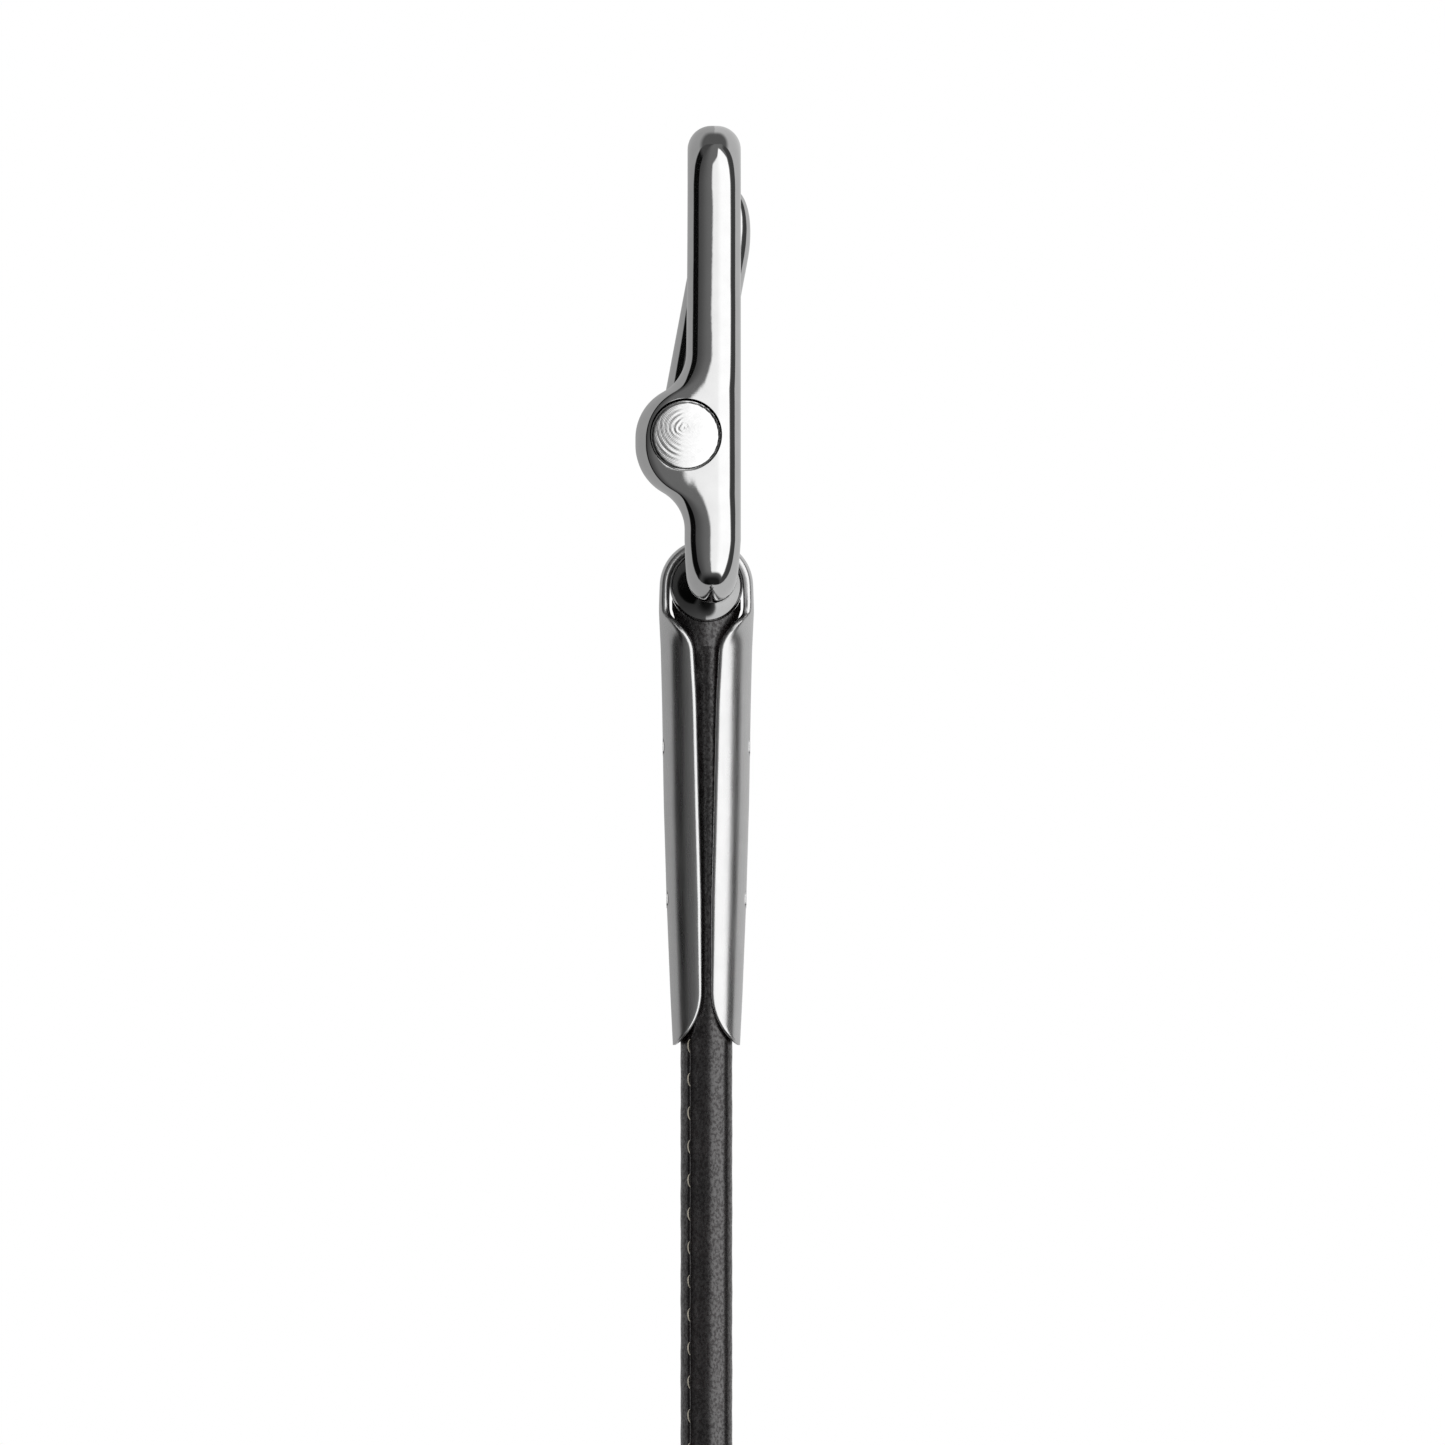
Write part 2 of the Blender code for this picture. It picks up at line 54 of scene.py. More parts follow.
MM = 0.001
AT_AXIS = 0.002  # radius in mm of a turned piece's smallest ring
OWN = "crop_"  # marks this script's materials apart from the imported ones
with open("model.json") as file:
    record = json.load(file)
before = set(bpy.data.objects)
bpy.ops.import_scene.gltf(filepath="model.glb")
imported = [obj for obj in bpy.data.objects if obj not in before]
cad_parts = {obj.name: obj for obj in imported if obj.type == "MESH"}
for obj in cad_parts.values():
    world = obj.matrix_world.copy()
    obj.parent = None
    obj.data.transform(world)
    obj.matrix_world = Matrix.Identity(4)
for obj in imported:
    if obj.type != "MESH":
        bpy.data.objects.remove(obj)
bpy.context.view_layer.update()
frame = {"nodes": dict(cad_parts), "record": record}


def node_box(name):
    """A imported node's lowest and highest corners, in mm."""
    low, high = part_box(name)
    return np.array(low) / MM, np.array(high) / MM


def node_middle(name):
    low, high = node_box(name)
    return (low + high) / 2


PIN = node_middle("cross_pin")
AXIS_X = node_middle("core_rod")[0]
FRAME_SIDE = node_box("buckle_frame")[1][1]
FRAME_TOP = node_box("buckle_frame")[1][2]
CLAMP_TIP = node_box("clamp")[0][2]
UPPER_LOW, UPPER_HIGH = node_box("upper_cover")
LOWER_LOW, LOWER_HIGH = node_box("lower_cover")
GRIP_LOW, GRIP_HIGH = node_box("grip_wrap")
KEEPER_LOW = node_box("keeper_front")[0]
NECK_TOP = node_box("keeper_neck_front")[1][2]
WHIP_LOW, WHIP_HIGH = node_box("keeper_whipping")
FLEX_Z = next(joint["pos_m"][2] for joint in frame["record"]["behaviour"]["joints"]
              if joint["name"] == "keeper_flex") / MM

# Buckle frame
BAR = 6.4
BAR_FRONT = 3.35
BAR_BACK_TOP = -3.3
BAR_BACK_LOW = -3.7
FRAME_BOTTOM = -53.2
CORNER = 4.8
EDGE_ROUND = 2.95
LOW_BAR = 3.1
LOW_BAR_X = -0.3
ROLLER_R = 4.55
ROLLER_EDGE_R = 4.2
ROLLER_Z = -51.0
ROLLER_HALF = 4.9
ROLLER_INNER_R = 1.9
ROLLER_SLOPE = 29.0  # of the roller's ends at their rims, in degrees
ROLLER_STEEPENS = 6.0  # degrees in each mm inwards
ROLLER_ROOM = 0.06
SADDLE_HALF = 4.3
SADDLE_DEEP = 2.75
SADDLE_LOW = -58.5
BOSS_X = -3.25
BOSS_HIGH = -32.6
BOSS_LOW = -33.5
BOSS_R = 6.55
BOSS_FILLET = 5.6
RIM_BENDS = ((90, 75, 1.4, 3), (75, 46, 5.5, 4), (46, 28, 0.6, 6), (28, 0, 1.9, 4))  # angles, radius, steps
SEAT_DROP = 5.2
SEAT_FLAT = 4.2
SEAT_END = 8.4
SEAT_OPEN = 9.0
GAP = 0.3

# Cross pin and tongue
PIN_SHANK = 3.1
PIN_HEAD = 4.33
PIN_HEAD_DEEP = 1.8
SINK_R = 4.5
SINK_RISE = 0.13  # the counterbore sits a little above its pin
HUB_R = 5.7
HUB_HALF = 5.2
TONGUE_LEAN = radians(10.6)
TONGUE_LONG = 31.6
TONGUE_THICK = 3.55
TONGUE_ROOT = 3.5
TONGUE_TIP = 2.6
NOSE = 8.5

# Clamp
STRIP = 1.1
STRIP_TIP = 0.6
EYE_R = 5.85
EYE_DISH = 0.05
WAIST = 3.4
NECK_Z = -54.6
SHOULDER_Z = -59.6
ROUND_Z = -101.5
ROUND_LONG = 6.86
CHEEK = [(-51.0, 5.85), (-54.0, 5.95), (-59.0, 5.72), (-66.0, 5.55), (-78.0, 5.35),
         (-90.0, 5.0), (-102.5, 4.5), (-108.4, 4.2)]
CHEEK_WIDE = [(-59.6, 7.3), (-65.0, 7.45), (-78.0, 7.45), (-90.0, 7.25), (-102.5, 6.5), (-108.4, 6.2)]
RIVETS_Z = (-71.0, -90.0)
RIVET_HEAD = 1.25

# Leather, grip and keeper
COVER_R = 3.16
COVER_WALL = 0.8
COVER_TIP_R = 2.5
SEAM_ANGLE = radians(-90 - 48)
COVER_OVAL = 0.11
OVAL_ANGLE = radians(-90 + 73)  # where the section is widest
FIRST_STITCH = -108.5
GRIP_R = 6.2
GRIP_SWELL = 0.5
GRIP_LAP = 0.34
GRIP_WALL = 1.1
COLLAR_R = 6.6
COLLAR_HIGH = 8.0
COLLAR_BEADS = (3.1, 4.3)
LEAF = 1.3
STIFFENER = 0.6
NECK_HALF = 3.6
KEEPER_HALF = 14.0
KEEPER_ROUND = 9.0
STITCH_MARGIN = 2.5
KEEPER_WIDE = -606.0
CORE_END = -576.0
WHIP_ROUND = 2.3
WHIP_THREAD = 0.31

# Stage, in metres
CAMERA_AWAY = 6.0
CAMERA_FIELD = 180.6 * MM
FLOOR_DROP = 0.02
FLOOR_R = 9.0

# Studio light, in degrees to the right of the camera and above level
FRONT_TURN = (-99, 100)
BLACK_CARD = ((-96, -64), (-55, 52), 0.004)  # turn, rise and radiance
GREY_CARD = ((74, 100), (-70, 70), 0.07)
BOX_TURN = (-1.5, 69)
BOX_FOOT = (-64, -58)
ARCH_TURN = 34
ARCH_HALF = 36
ARCH_TOP = 78
ARCH_DROP = 32


class CropSizes(bpy.types.PropertyGroup):
    """Sizes of the crop's fine detail."""

    stitch_pitch: bpy.props.FloatProperty(
        name="Stitch pitch", description="Distance between stitches along the crop's seam",
        default=4.2 * MM, unit="LENGTH")
    stitch_long: bpy.props.FloatProperty(
        name="Stitch length", description="Length of thread that shows at each stitch of the seam",
        default=1.75 * MM, unit="LENGTH")
    thread: bpy.props.FloatProperty(
        name="Thread", description="Radius of the sewing thread", default=0.09 * MM, unit="LENGTH")
    keeper_pitch: bpy.props.FloatProperty(
        name="Keeper stitch pitch", description="Distance between stitches round the keeper",
        default=2.9 * MM, unit="LENGTH")
    wrap_pitch: bpy.props.FloatProperty(
        name="Wrap pitch", description="Rise of the grip's leather strip in one turn",
        default=13.0 * MM, unit="LENGTH")
    whip_pitch: bpy.props.FloatProperty(
        name="Whipping pitch", description="Distance between turns of the waxed whipping",
        default=0.56 * MM, unit="LENGTH")


class CropColours(bpy.types.PropertyGroup):
    """Colours of the crop's finishes."""

    steel: bpy.props.FloatVectorProperty(
        name="Steel", description="Colour of the polished steel", subtype="COLOR", size=3,
        default=(0.62, 0.62, 0.62))
    leather: bpy.props.FloatVectorProperty(
        name="Leather", description="Colour of the covers and the keeper", subtype="COLOR", size=3,
        default=(0.003, 0.0019, 0.0022))
    thread: bpy.props.FloatVectorProperty(
        name="Thread", description="Colour of the sewing thread", subtype="COLOR", size=3,
        default=(0.42, 0.39, 0.32))


def sizes():
    return bpy.context.scene.crop_sizes


def colours():
    return bpy.context.scene.crop_colours


# Shader nodes


class Signal:
    """An output socket in a node tree. Arithmetic on it adds Math nodes to the tree."""

    def __init__(self, tree, socket):
        self.tree = tree
        self.socket = socket

    def maths(self, operation, *terms):
        return add_node(self.tree, "ShaderNodeMath", {"operation": operation}, dict(enumerate(terms)))

    def __add__(self, other):
        return self.maths("ADD", self, other)

    __radd__ = __add__

    def __sub__(self, other):
        return self.maths("SUBTRACT", self, other)

    def __rsub__(self, other):
        return self.maths("SUBTRACT", other, self)

    def __mul__(self, other):
        return self.maths("MULTIPLY", self, other)

    __rmul__ = __mul__

    def __truediv__(self, other):
        return self.maths("DIVIDE", self, other)

    def sine(self):
        return self.maths("SINE", self)

    def over(self, low, high):
        """0 below low, 1 above high and eased between them."""
        return add_node(self.tree, "ShaderNodeMapRange", {"interpolation_type": "SMOOTHSTEP"},
                        {0: self, 1: low, 2: high})

    def mix(self, low, high):
        """The colour low where this is 0 and high where it is 1."""
        settings = {"data_type": "RGBA"}
        return add_node(self.tree, "ShaderNodeMix", settings, {0: self, 6: low, 7: high}, 2)

    def parts(self):
        """The X, Y and Z of a vector."""
        split = add_node(self.tree, "ShaderNodeSeparateXYZ", {}, {0: self}).socket.node
        return [Signal(self.tree, socket) for socket in split.outputs]


def add_node(tree, kind, settings, values, output=0):
    """Adds a node, sets it up, and gives or links its inputs. Returns the output asked for."""
    made = tree.nodes.new(kind)
    for name, setting in settings.items():
        setattr(made, name, setting)
    for key, value in values.items():
        if isinstance(value, Signal):
            tree.links.new(value.socket, made.inputs[key])
        else:
            made.inputs[key].default_value = value
    return Signal(tree, made.outputs[output])


def rgba(colour, gain=1.0):
    return (*(channel * gain for channel in colour), 1.0)


class Finish:
    """A material under construction, with shorthands for the textures that these finishes share."""

    def __init__(self, name):
        self.material = bpy.data.materials.new(OWN + name)
        self.material.use_nodes = True
        self.tree = self.material.node_tree
        self.shader = self.tree.nodes["Principled BSDF"]
        self.place = add_node(self.tree, "ShaderNodeTexCoord", {}, {}, "Object")

    def set(self, **values):
        for name, value in values.items():
            socket = self.shader.inputs[name.replace("_", " ").title().replace("Ior", "IOR")]
            if isinstance(value, Signal):
                self.tree.links.new(value.socket, socket)
            else:
                socket.default_value = value

    def at(self, scale, turn=(0, 0, 0), shift=(0, 0, 0)):
        """Object coordinates, in units of 1 / scale metres."""
        return add_node(self.tree, "ShaderNodeMapping", {},
                        {"Vector": self.place, "Location": shift, "Rotation": turn, "Scale": scale})

    def noise(self, where, scale=1.0, detail=2.0, rough=0.5):
        return add_node(self.tree, "ShaderNodeTexNoise", {},
                        {"Vector": where, "Scale": scale, "Detail": detail, "Roughness": rough})

    def bump(self, height, depth, strength=1.0):
        return add_node(self.tree, "ShaderNodeBump", {},
                        {"Height": height, "Distance": depth, "Strength": strength})


def polished_steel(name="polished_steel", drawn=0.0):
    """Mirror polished steel; drawn adds the faint lengthwise lines of rolled strip."""
    finish = Finish(name)
    haze = finish.noise(finish.at((1, 1, 1)), 420.0, 3.0)
    buffing = finish.noise(finish.at((1600, 1600, 90)), 1.0, 2.0)
    waves = finish.noise(finish.at((300, 300, 120)), 1.0, 1.0)
    ripple = waves + finish.noise(finish.at((900, 900, 900)), 1.0) * 0.06
    steel = colours().steel
    finish.set(base_color=haze.mix(rgba(steel, 0.93), rgba(steel, 1.05)), metallic=1.0,
               roughness=0.03 + drawn * 0.17 + buffing * (0.04 + drawn * 0.12),
               normal=finish.bump(ripple + buffing * 0.12 * drawn, (0.07 - 0.03 * drawn) * MM, 0.6))
    return finish.material


def shade_darkened_steel():
    """Polished steel painted dark as the shade inside the clamp's eye, rubbed by the clamp."""
    finish = Finish("shade_darkened_steel")
    rubbed = finish.noise(finish.at((300, 90, 300)), 1.0, 3.0)
    # the dark base colour is painted shade inside the clamp's eye; the rubbed tone varies at random
    finish.set(base_color=rubbed.mix((0.24, 0.24, 0.24, 1), (0.36, 0.36, 0.36, 1)), metallic=1.0,
               roughness=0.05 + rubbed * 0.06, normal=finish.bump(rubbed, 0.01 * MM, 0.5))
    return finish.material


def turned_steel():
    """The pin's steel, with fine rings from the lathe about a centre a little off its own."""
    finish = Finish("turned_steel")
    x, _, z = finish.place.parts()
    across = x - (PIN[0] - 0.2) * MM
    up = z - (PIN[2] + 0.9) * MM
    squared = across * across + up * up
    reach = squared.maths("SQRT", squared)
    wander = finish.noise(finish.at((1, 1, 1)), 500.0, 2.0)
    rings = (reach * (2 * pi / (0.17 * MM)) + wander * 5.0).sine()
    haze = finish.noise(finish.at((1, 1, 1)), 1500.0, 2.0)
    finish.set(base_color=haze.mix(rgba(colours().steel, 1.0), rgba(colours().steel, 1.25)), metallic=1.0,
               roughness=0.12 + haze * 0.12, normal=finish.bump(rings, 0.004 * MM, 0.6))
    return finish.material


def dark_leather(name="dark_leather", pebble=0.36, depth=0.04, rough=0.3):
    """Dressed bridle leather: closed grain of small pebbles, with wax polish that sits unevenly on it."""
    finish = Finish(name)
    plain = finish.at((1, 1, 1))
    worm = finish.noise(plain, 1 / (pebble * MM), 1.0, 0.4)
    cloud = finish.noise(plain, 120.0, 4.0, 0.6)
    polish = finish.noise(finish.at((1, 1, 0.7)), 1 / (pebble * 0.8 * MM), 2.0, 0.6).over(0.36, 0.62)
    dark = colours().leather
    worn = (*(channel * gain for channel, gain in zip(dark, (1.9, 1.7, 1.5))), 1.0)
    tone = cloud.over(0.35, 0.7).mix(rgba(dark, 0.75), worn)
    shade = worm.over(0.36, 0.5).mix(rgba(dark, 0.6), tone)
    finish.set(base_color=shade, roughness=rough + cloud * 0.1, ior=1.3, specular_tint=(1.0, 0.88, 0.92, 1.0),
               coat_weight=0.32 + polish * 0.58, coat_ior=2.0, coat_roughness=0.25,
               normal=finish.bump(worm, depth * MM, 1.0))
    return finish.material


def sewing_thread():
    """Waxed linen: twisted strands that show as slanting lines along each stitch."""
    finish = Finish("linen_thread")
    x, _, z = finish.place.parts()
    twist = ((z + x * 0.7) * (2 * pi / (0.32 * MM))).sine()
    dirt = finish.noise(finish.at((1, 1, 1)), 1100.0, 3.0)
    thread = colours().thread
    finish.set(base_color=dirt.mix(rgba(thread, 0.55), rgba(thread, 1.15)), roughness=0.55 + dirt * 0.25,
               normal=finish.bump(twist, 0.03 * MM, 0.7))
    return finish.material


def waxed_whipping():
    finish = Finish("waxed_thread")
    x, y, _ = finish.place.parts()
    twist = ((x + y) * (2 * pi / (0.3 * MM))).sine()
    wax = finish.noise(finish.at((1, 1, 1)), 900.0, 3.0)
    finish.set(base_color=wax.mix((0.012, 0.011, 0.01, 1), (0.035, 0.031, 0.028, 1)),
               roughness=0.4 + wax * 0.3, normal=finish.bump(twist, 0.04 * MM, 0.7))
    return finish.material


def inner_finish(name, low, high, scale, grain, rough):
    """Plain stock inside the crop: two tones in a pattern of the given scale per axis."""
    finish = Finish(name)
    pattern = finish.noise(finish.at(scale), 1.0, 4.0, 0.6)
    finish.set(base_color=pattern.over(0.3, 0.7).mix(low, high), roughness=rough + pattern * 0.15,
               normal=finish.bump(pattern, grain * MM, 0.8))
    return finish.material


MAKERS = {
    "polished_steel": polished_steel,
    "strip_steel": lambda: polished_steel("strip_steel", drawn=1.0),
    "shade_darkened_steel": shade_darkened_steel,
    "turned_steel": turned_steel,
    "dark_leather": dark_leather,
    "grip_leather": lambda: dark_leather("grip_leather", 0.5, 0.07, 0.34),
    "linen_thread": sewing_thread,
    "waxed_thread": waxed_whipping,
    "glass_fibre": lambda: inner_finish(
        "glass_fibre", (0.4, 0.38, 0.26, 1), (0.62, 0.6, 0.47, 1), (2000, 2000, 60), 0.02, 0.3),
    "cork": lambda: inner_finish(
        "cork", (0.22, 0.12, 0.06, 1), (0.56, 0.37, 0.2, 1), (700, 700, 700), 0.15, 0.75),
    "leather_board": lambda: inner_finish(
        "leather_board", (0.1, 0.05, 0.03, 1), (0.2, 0.12, 0.07, 1), (900, 900, 900), 0.1, 0.75),
}


def material(name):
    return bpy.data.materials.get(OWN + name) or MAKERS[name]()


# Meshes


def new_object(name, mesh):
    made = bpy.data.objects.new(name, mesh)
    bpy.context.scene.collection.objects.link(made)
    return made


def smooth_faces(mesh, sharp=40):
    mesh.shade_smooth()
    mesh.set_sharp_from_angle(angle=radians(sharp))


def skin(name, rings, loop=False):
    """A closed mesh object through rings of equally many points in mm, listed in order."""
    rings = np.array(rings, float)
    count, around, _ = rings.shape
    index = np.arange(count * around).reshape(count, around)
    ends = np.vstack([index, index[:1]]) if loop else index
    low, high = ends[:-1], ends[1:]
    quads = np.stack([low, np.roll(low, -1, 1), np.roll(high, -1, 1), high], -1).reshape(-1, 4).tolist()
    if not loop:
        quads += [index[0][::-1].tolist(), index[-1].tolist()]
    mesh = bpy.data.meshes.new(name)
    mesh.from_pydata((rings.reshape(-1, 3) * MM).tolist(), [], quads)
    tidy_mesh(mesh)
    return new_object(name, mesh)


def tidy_mesh(mesh, weld=1e-7):
    """Welds doubled points and turns every face outwards."""
    bm = bmesh.new()
    bm.from_mesh(mesh)
    bmesh.ops.remove_doubles(bm, verts=bm.verts, dist=weld)
    bmesh.ops.recalc_face_normals(bm, faces=bm.faces)
    bm.to_mesh(mesh)
    bm.free()
    smooth_faces(mesh)


def settle(obj, sharp=40):
    """Makes the object's modifiers part of its mesh."""
    bpy.context.view_layer.update()
    evaluated = obj.evaluated_get(bpy.context.evaluated_depsgraph_get())
    mesh = bpy.data.meshes.new_from_object(evaluated)
    obj.modifiers.clear()
    obj.data = mesh
    smooth_faces(mesh, sharp)
    return obj


def cut(obj, operation, *others):
    """Cuts or joins obj with others, which are used up."""
    for other in others:
        modifier = obj.modifiers.new("cut", "BOOLEAN")
        modifier.operation = operation
        modifier.object = other
        modifier.solver = "EXACT"
        settle(obj)
        bpy.data.objects.remove(other)


def soften(obj, width, segments=3, angle=40, sharp=60):
    """Rounds the sharp edges."""
    modifier = obj.modifiers.new("soften", "BEVEL")
    modifier.width = width * MM
    modifier.segments = segments
    modifier.limit_method = "ANGLE"
    modifier.angle_limit = radians(angle)
    modifier.use_clamp_overlap = True
    settle(obj, sharp)


def turned(name, profile, along, middle, steps=96):
    """A solid of revolution: profile of (radius, distance) in mm about the axis along, through middle."""
    axis = Vector(along)
    side = axis.orthogonal().normalized()
    other = axis.cross(side)
    angles = np.linspace(0, 2 * pi, steps, endpoint=False)
    ways = [side * cos(a) + other * sin(a) for a in angles]
    return skin(name, [[Vector(middle) + axis * reach + way * max(radius, AT_AXIS) for way in ways]
                       for radius, reach in profile])


def finish_piece(obj, finish, body, *nodes, slot=None):
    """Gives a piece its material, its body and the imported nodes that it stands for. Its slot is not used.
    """
    obj.data.materials.clear()
    obj.data.materials.append(material(finish))
    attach(obj, body)
    if nodes:
        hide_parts(*nodes)


def ease(share):
    share = min(max(share, 0.0), 1.0)
    return share * share * (3 - 2 * share)


def between(table, at):
    """A value from a table of (position, value), positions falling."""
    for (a, low), (b, high) in zip(table, table[1:]):
        if at >= b:
            return low + (high - low) * min(max((a - at) / (a - b), 0.0), 1.0)
    return table[-1][1]


def corner_arc(x, n, long, tall, start, steps):
    """A quarter of an ellipse as (x, n) pairs, about its own middle, from the start angle in degrees."""
    return [(x + long * cos(radians(start + 90 * i / steps)), n + tall * sin(radians(start + 90 * i / steps)))
            for i in range(steps + 1)]


def corners(x0, x1, n0, n1):
    """A rectangle's corners, each with the way inwards from it and the angle where its arc starts."""
    return (x1, n1, -1, -1, 0), (x0, n1, 1, -1, 90), (x0, n0, 1, 1, 180), (x1, n0, -1, 1, 270)


def rounded_section(x0, x1, n0, n1, radius, steps):
    """Points round a rectangle with round corners, as (x, n) pairs."""
    radius = min(radius, 0.495 * (x1 - x0), 0.495 * (n1 - n0))
    points = []
    for x, n, in_x, in_n, start in corners(x0, x1, n0, n1):
        points += corner_arc(x + in_x * radius, n + in_n * radius, radius, radius, start, steps)
    return points


# Buckle


def back_edge(z):
    """The back of a side bar at height z: bar, fillet, boss, fillet and bar again."""
    plain = BAR_BACK_TOP + (BAR_BACK_LOW - BAR_BACK_TOP) * ease(z / FRAME_BOTTOM)
    rise = abs(z - min(max(z, BOSS_LOW), BOSS_HIGH))
    fillet_x = plain - BOSS_FILLET
    reach = sqrt((BOSS_R + BOSS_FILLET) ** 2 - (BOSS_X - fillet_x) ** 2)
    if rise <= reach * BOSS_R / (BOSS_R + BOSS_FILLET):
        return BOSS_X - sqrt(BOSS_R**2 - rise**2)
    if rise < reach:
        return fillet_x + sqrt(BOSS_FILLET**2 - (reach - rise) ** 2)
    return plain


def back_corner(deep, tall):
    """The bar's outer back corner, as (x, n) steps inwards from its back: round on the plain bar, and on the
    boss a near flat chamfer that meets the face in a crisp bend."""
    share = ease((deep - 0.4) / 2.6)
    x = n = 0.0
    points = [(x, n)]
    for start, end, radius, steps in RIM_BENDS:
        turn = radians(start - end) / steps
        reach = (EDGE_ROUND + (radius - EDGE_ROUND) * share) * turn
        for i in range(steps):
            middle = radians(start) - turn * (i + 0.5)
            x, n = x + reach * cos(middle), n + reach * sin(middle)
            points.append((x, n))
    return [(across * tall / n, up * tall / n) for across, up in points]


def bar_outline(back, front, inner, outer, rounding, steps=12):
    """The bar's section as (x, n) pairs: rounder at the back where it is deep, with a crowned outer face."""
    deep = max(0.0, front - back - BAR - 0.3)
    points = []
    for x, n, in_x, in_n, start in corners(back, front, inner, outer):
        long = rounding + (min(0.35 * deep, 2.2) if x == back else 0.0)
        long = min(long, 0.495 * (front - back))
        tall = min(rounding, 0.495 * (outer - inner))
        if (x, n) == (back, outer):
            points += [(back + across, outer - tall + up) for across, up in back_corner(deep, tall)[::-1]]
            continue
        points += corner_arc(x + in_x * long, n + in_n * tall, long, tall, start, steps)
    middle, half = (front + back) / 2, (front - back) / 2
    crown = 0.03 + 0.27 * ease(deep / 3)
    return [(x, n - crown * ((x - middle) / half) ** 2 if n > 0 else n) for x, n in points]


def frame_stations():
    """Half of the frame's centre line: y, z, outward y, outward z and how far it is the lower bar."""
    half = FRAME_SIDE - BAR / 2
    low = FRAME_BOTTOM + LOW_BAR
    for y in np.linspace(0.0, half - CORNER, 32)[:-1]:
        yield y, BAR / 2, 0.0, 1.0, 0.0
    for a in np.radians(np.linspace(90, 0, 28)):
        yield half - CORNER + CORNER * cos(a), BAR / 2 - CORNER + CORNER * sin(a), cos(a), sin(a), 0.0
    for z in np.concatenate([np.linspace(-2.4, -20.0, 16), np.linspace(-20.4, -44.6, 90)]):
        yield half, z, 1.0, 0.0, 0.0
    for share in np.linspace(0, 1, 28):
        a = -pi / 2 * share
        yield half - CORNER + CORNER * cos(a), low + CORNER + CORNER * sin(a), cos(a), sin(a), share
    for y in np.linspace(half - CORNER, 0, 16)[1:]:
        yield y, low, 0.0, -1.0, 1.0


def frame_section(y, z, out_y, out_z, low_bar):
    """The bar's section at one station."""
    half = BAR / 2 + (LOW_BAR - BAR / 2) * low_bar
    inside = half
    if out_z == 1.0:
        inside += SEAT_DROP * (1 - ease((y - SEAT_FLAT) / (SEAT_END - SEAT_FLAT)))
    back = back_edge(z) + (LOW_BAR_X - LOW_BAR - back_edge(z)) * low_bar
    front = BAR_FRONT + (LOW_BAR_X + LOW_BAR - BAR_FRONT) * low_bar
    rounding = EDGE_ROUND + (LOW_BAR - EDGE_ROUND) * low_bar
    return [(x, y + out_y * n, z + out_z * n) for x, n in bar_outline(back, front, -inside, half, rounding)]


def tongue_rings(grow=0.0, open_front=0.0, around=48, along_steps=60):
    """Oval rings along the tongue, grown all over; open_front draws their front halves out to a slot."""
    plain = TONGUE_LONG - NOSE
    places = list(np.linspace(0, plain, along_steps)) + [plain + NOSE * sin(a) for a in
                                                         np.linspace(0.05, radians(88), along_steps // 2)]
    rings = []
    for along in places:
        nose = max(0.0, (along - plain) / NOSE)
        shrink = sqrt(max(0.0, 1 - nose * nose))
        thick = TONGUE_THICK * shrink + grow
        wide = (TONGUE_ROOT + (TONGUE_TIP - TONGUE_ROOT) * ease((along - 6) / 16)) * shrink + grow
        ring = []
        for i in range(around):
            a = 2 * pi * (i + 0.5) / around
            off, side = thick * cos(a), wide * sin(a)
            if open_front and off > 0:
                off, side = open_front, wide * (1 if side > 0 else -1)
            far = along + (grow if nose else 0.0)
            ring.append((PIN[0] + far * sin(TONGUE_LEAN) + off * cos(TONGUE_LEAN), side,
                         PIN[2] + far * cos(TONGUE_LEAN) - off * sin(TONGUE_LEAN)))
        rings.append(ring)
    return rings


def cross_cylinder(name, radius, half):
    """A cylinder across the buckle, about the pin's axis."""
    profile = [(0, -half), (radius, -half), (radius, half), (0, half)]
    return turned(name, profile, (0, 1, 0), (PIN[0], 0.0, PIN[2]))


def make_frame():
    half = [frame_section(*station) for station in frame_stations()]
    mirrored = [[(x, -y, z) for x, y, z in ring] for ring in half[-2:0:-1]]
    buckle = skin("polished_buckle", half + mirrored, loop=True)
    bore = cross_cylinder("bore", PIN_SHANK + 0.1, FRAME_SIDE + 2)
    side = FRAME_SIDE
    sinks = []
    floor = side - PIN_HEAD_DEEP - 0.1
    for sign in (-1, 1):
        profile = [(0, side + 3), (SINK_R + 1.0, side + 3), (SINK_R + 0.06, side + 0.05),
                   (SINK_R, side - 0.25), (SINK_R, side - 0.8), (PIN_HEAD - 0.4, floor), (0, floor)]
        sinks.append(turned("sink", [(radius, sign * y) for radius, y in profile], (0, 1, 0),
                            (PIN[0], 0, PIN[2] + SINK_RISE)))
    seat = skin("seat", tongue_rings(GAP, SEAT_OPEN))
    cut(buckle, "DIFFERENCE", seat)
    soften(buckle, 0.25)
    cut(buckle, "DIFFERENCE", bore, *sinks)
    finish_piece(buckle, "polished_steel", "buckle", "buckle_frame")


def roller_radius(y):
    return ROLLER_EDGE_R + (ROLLER_R - ROLLER_EDGE_R) * (1 - (y / ROLLER_HALF) ** 2)


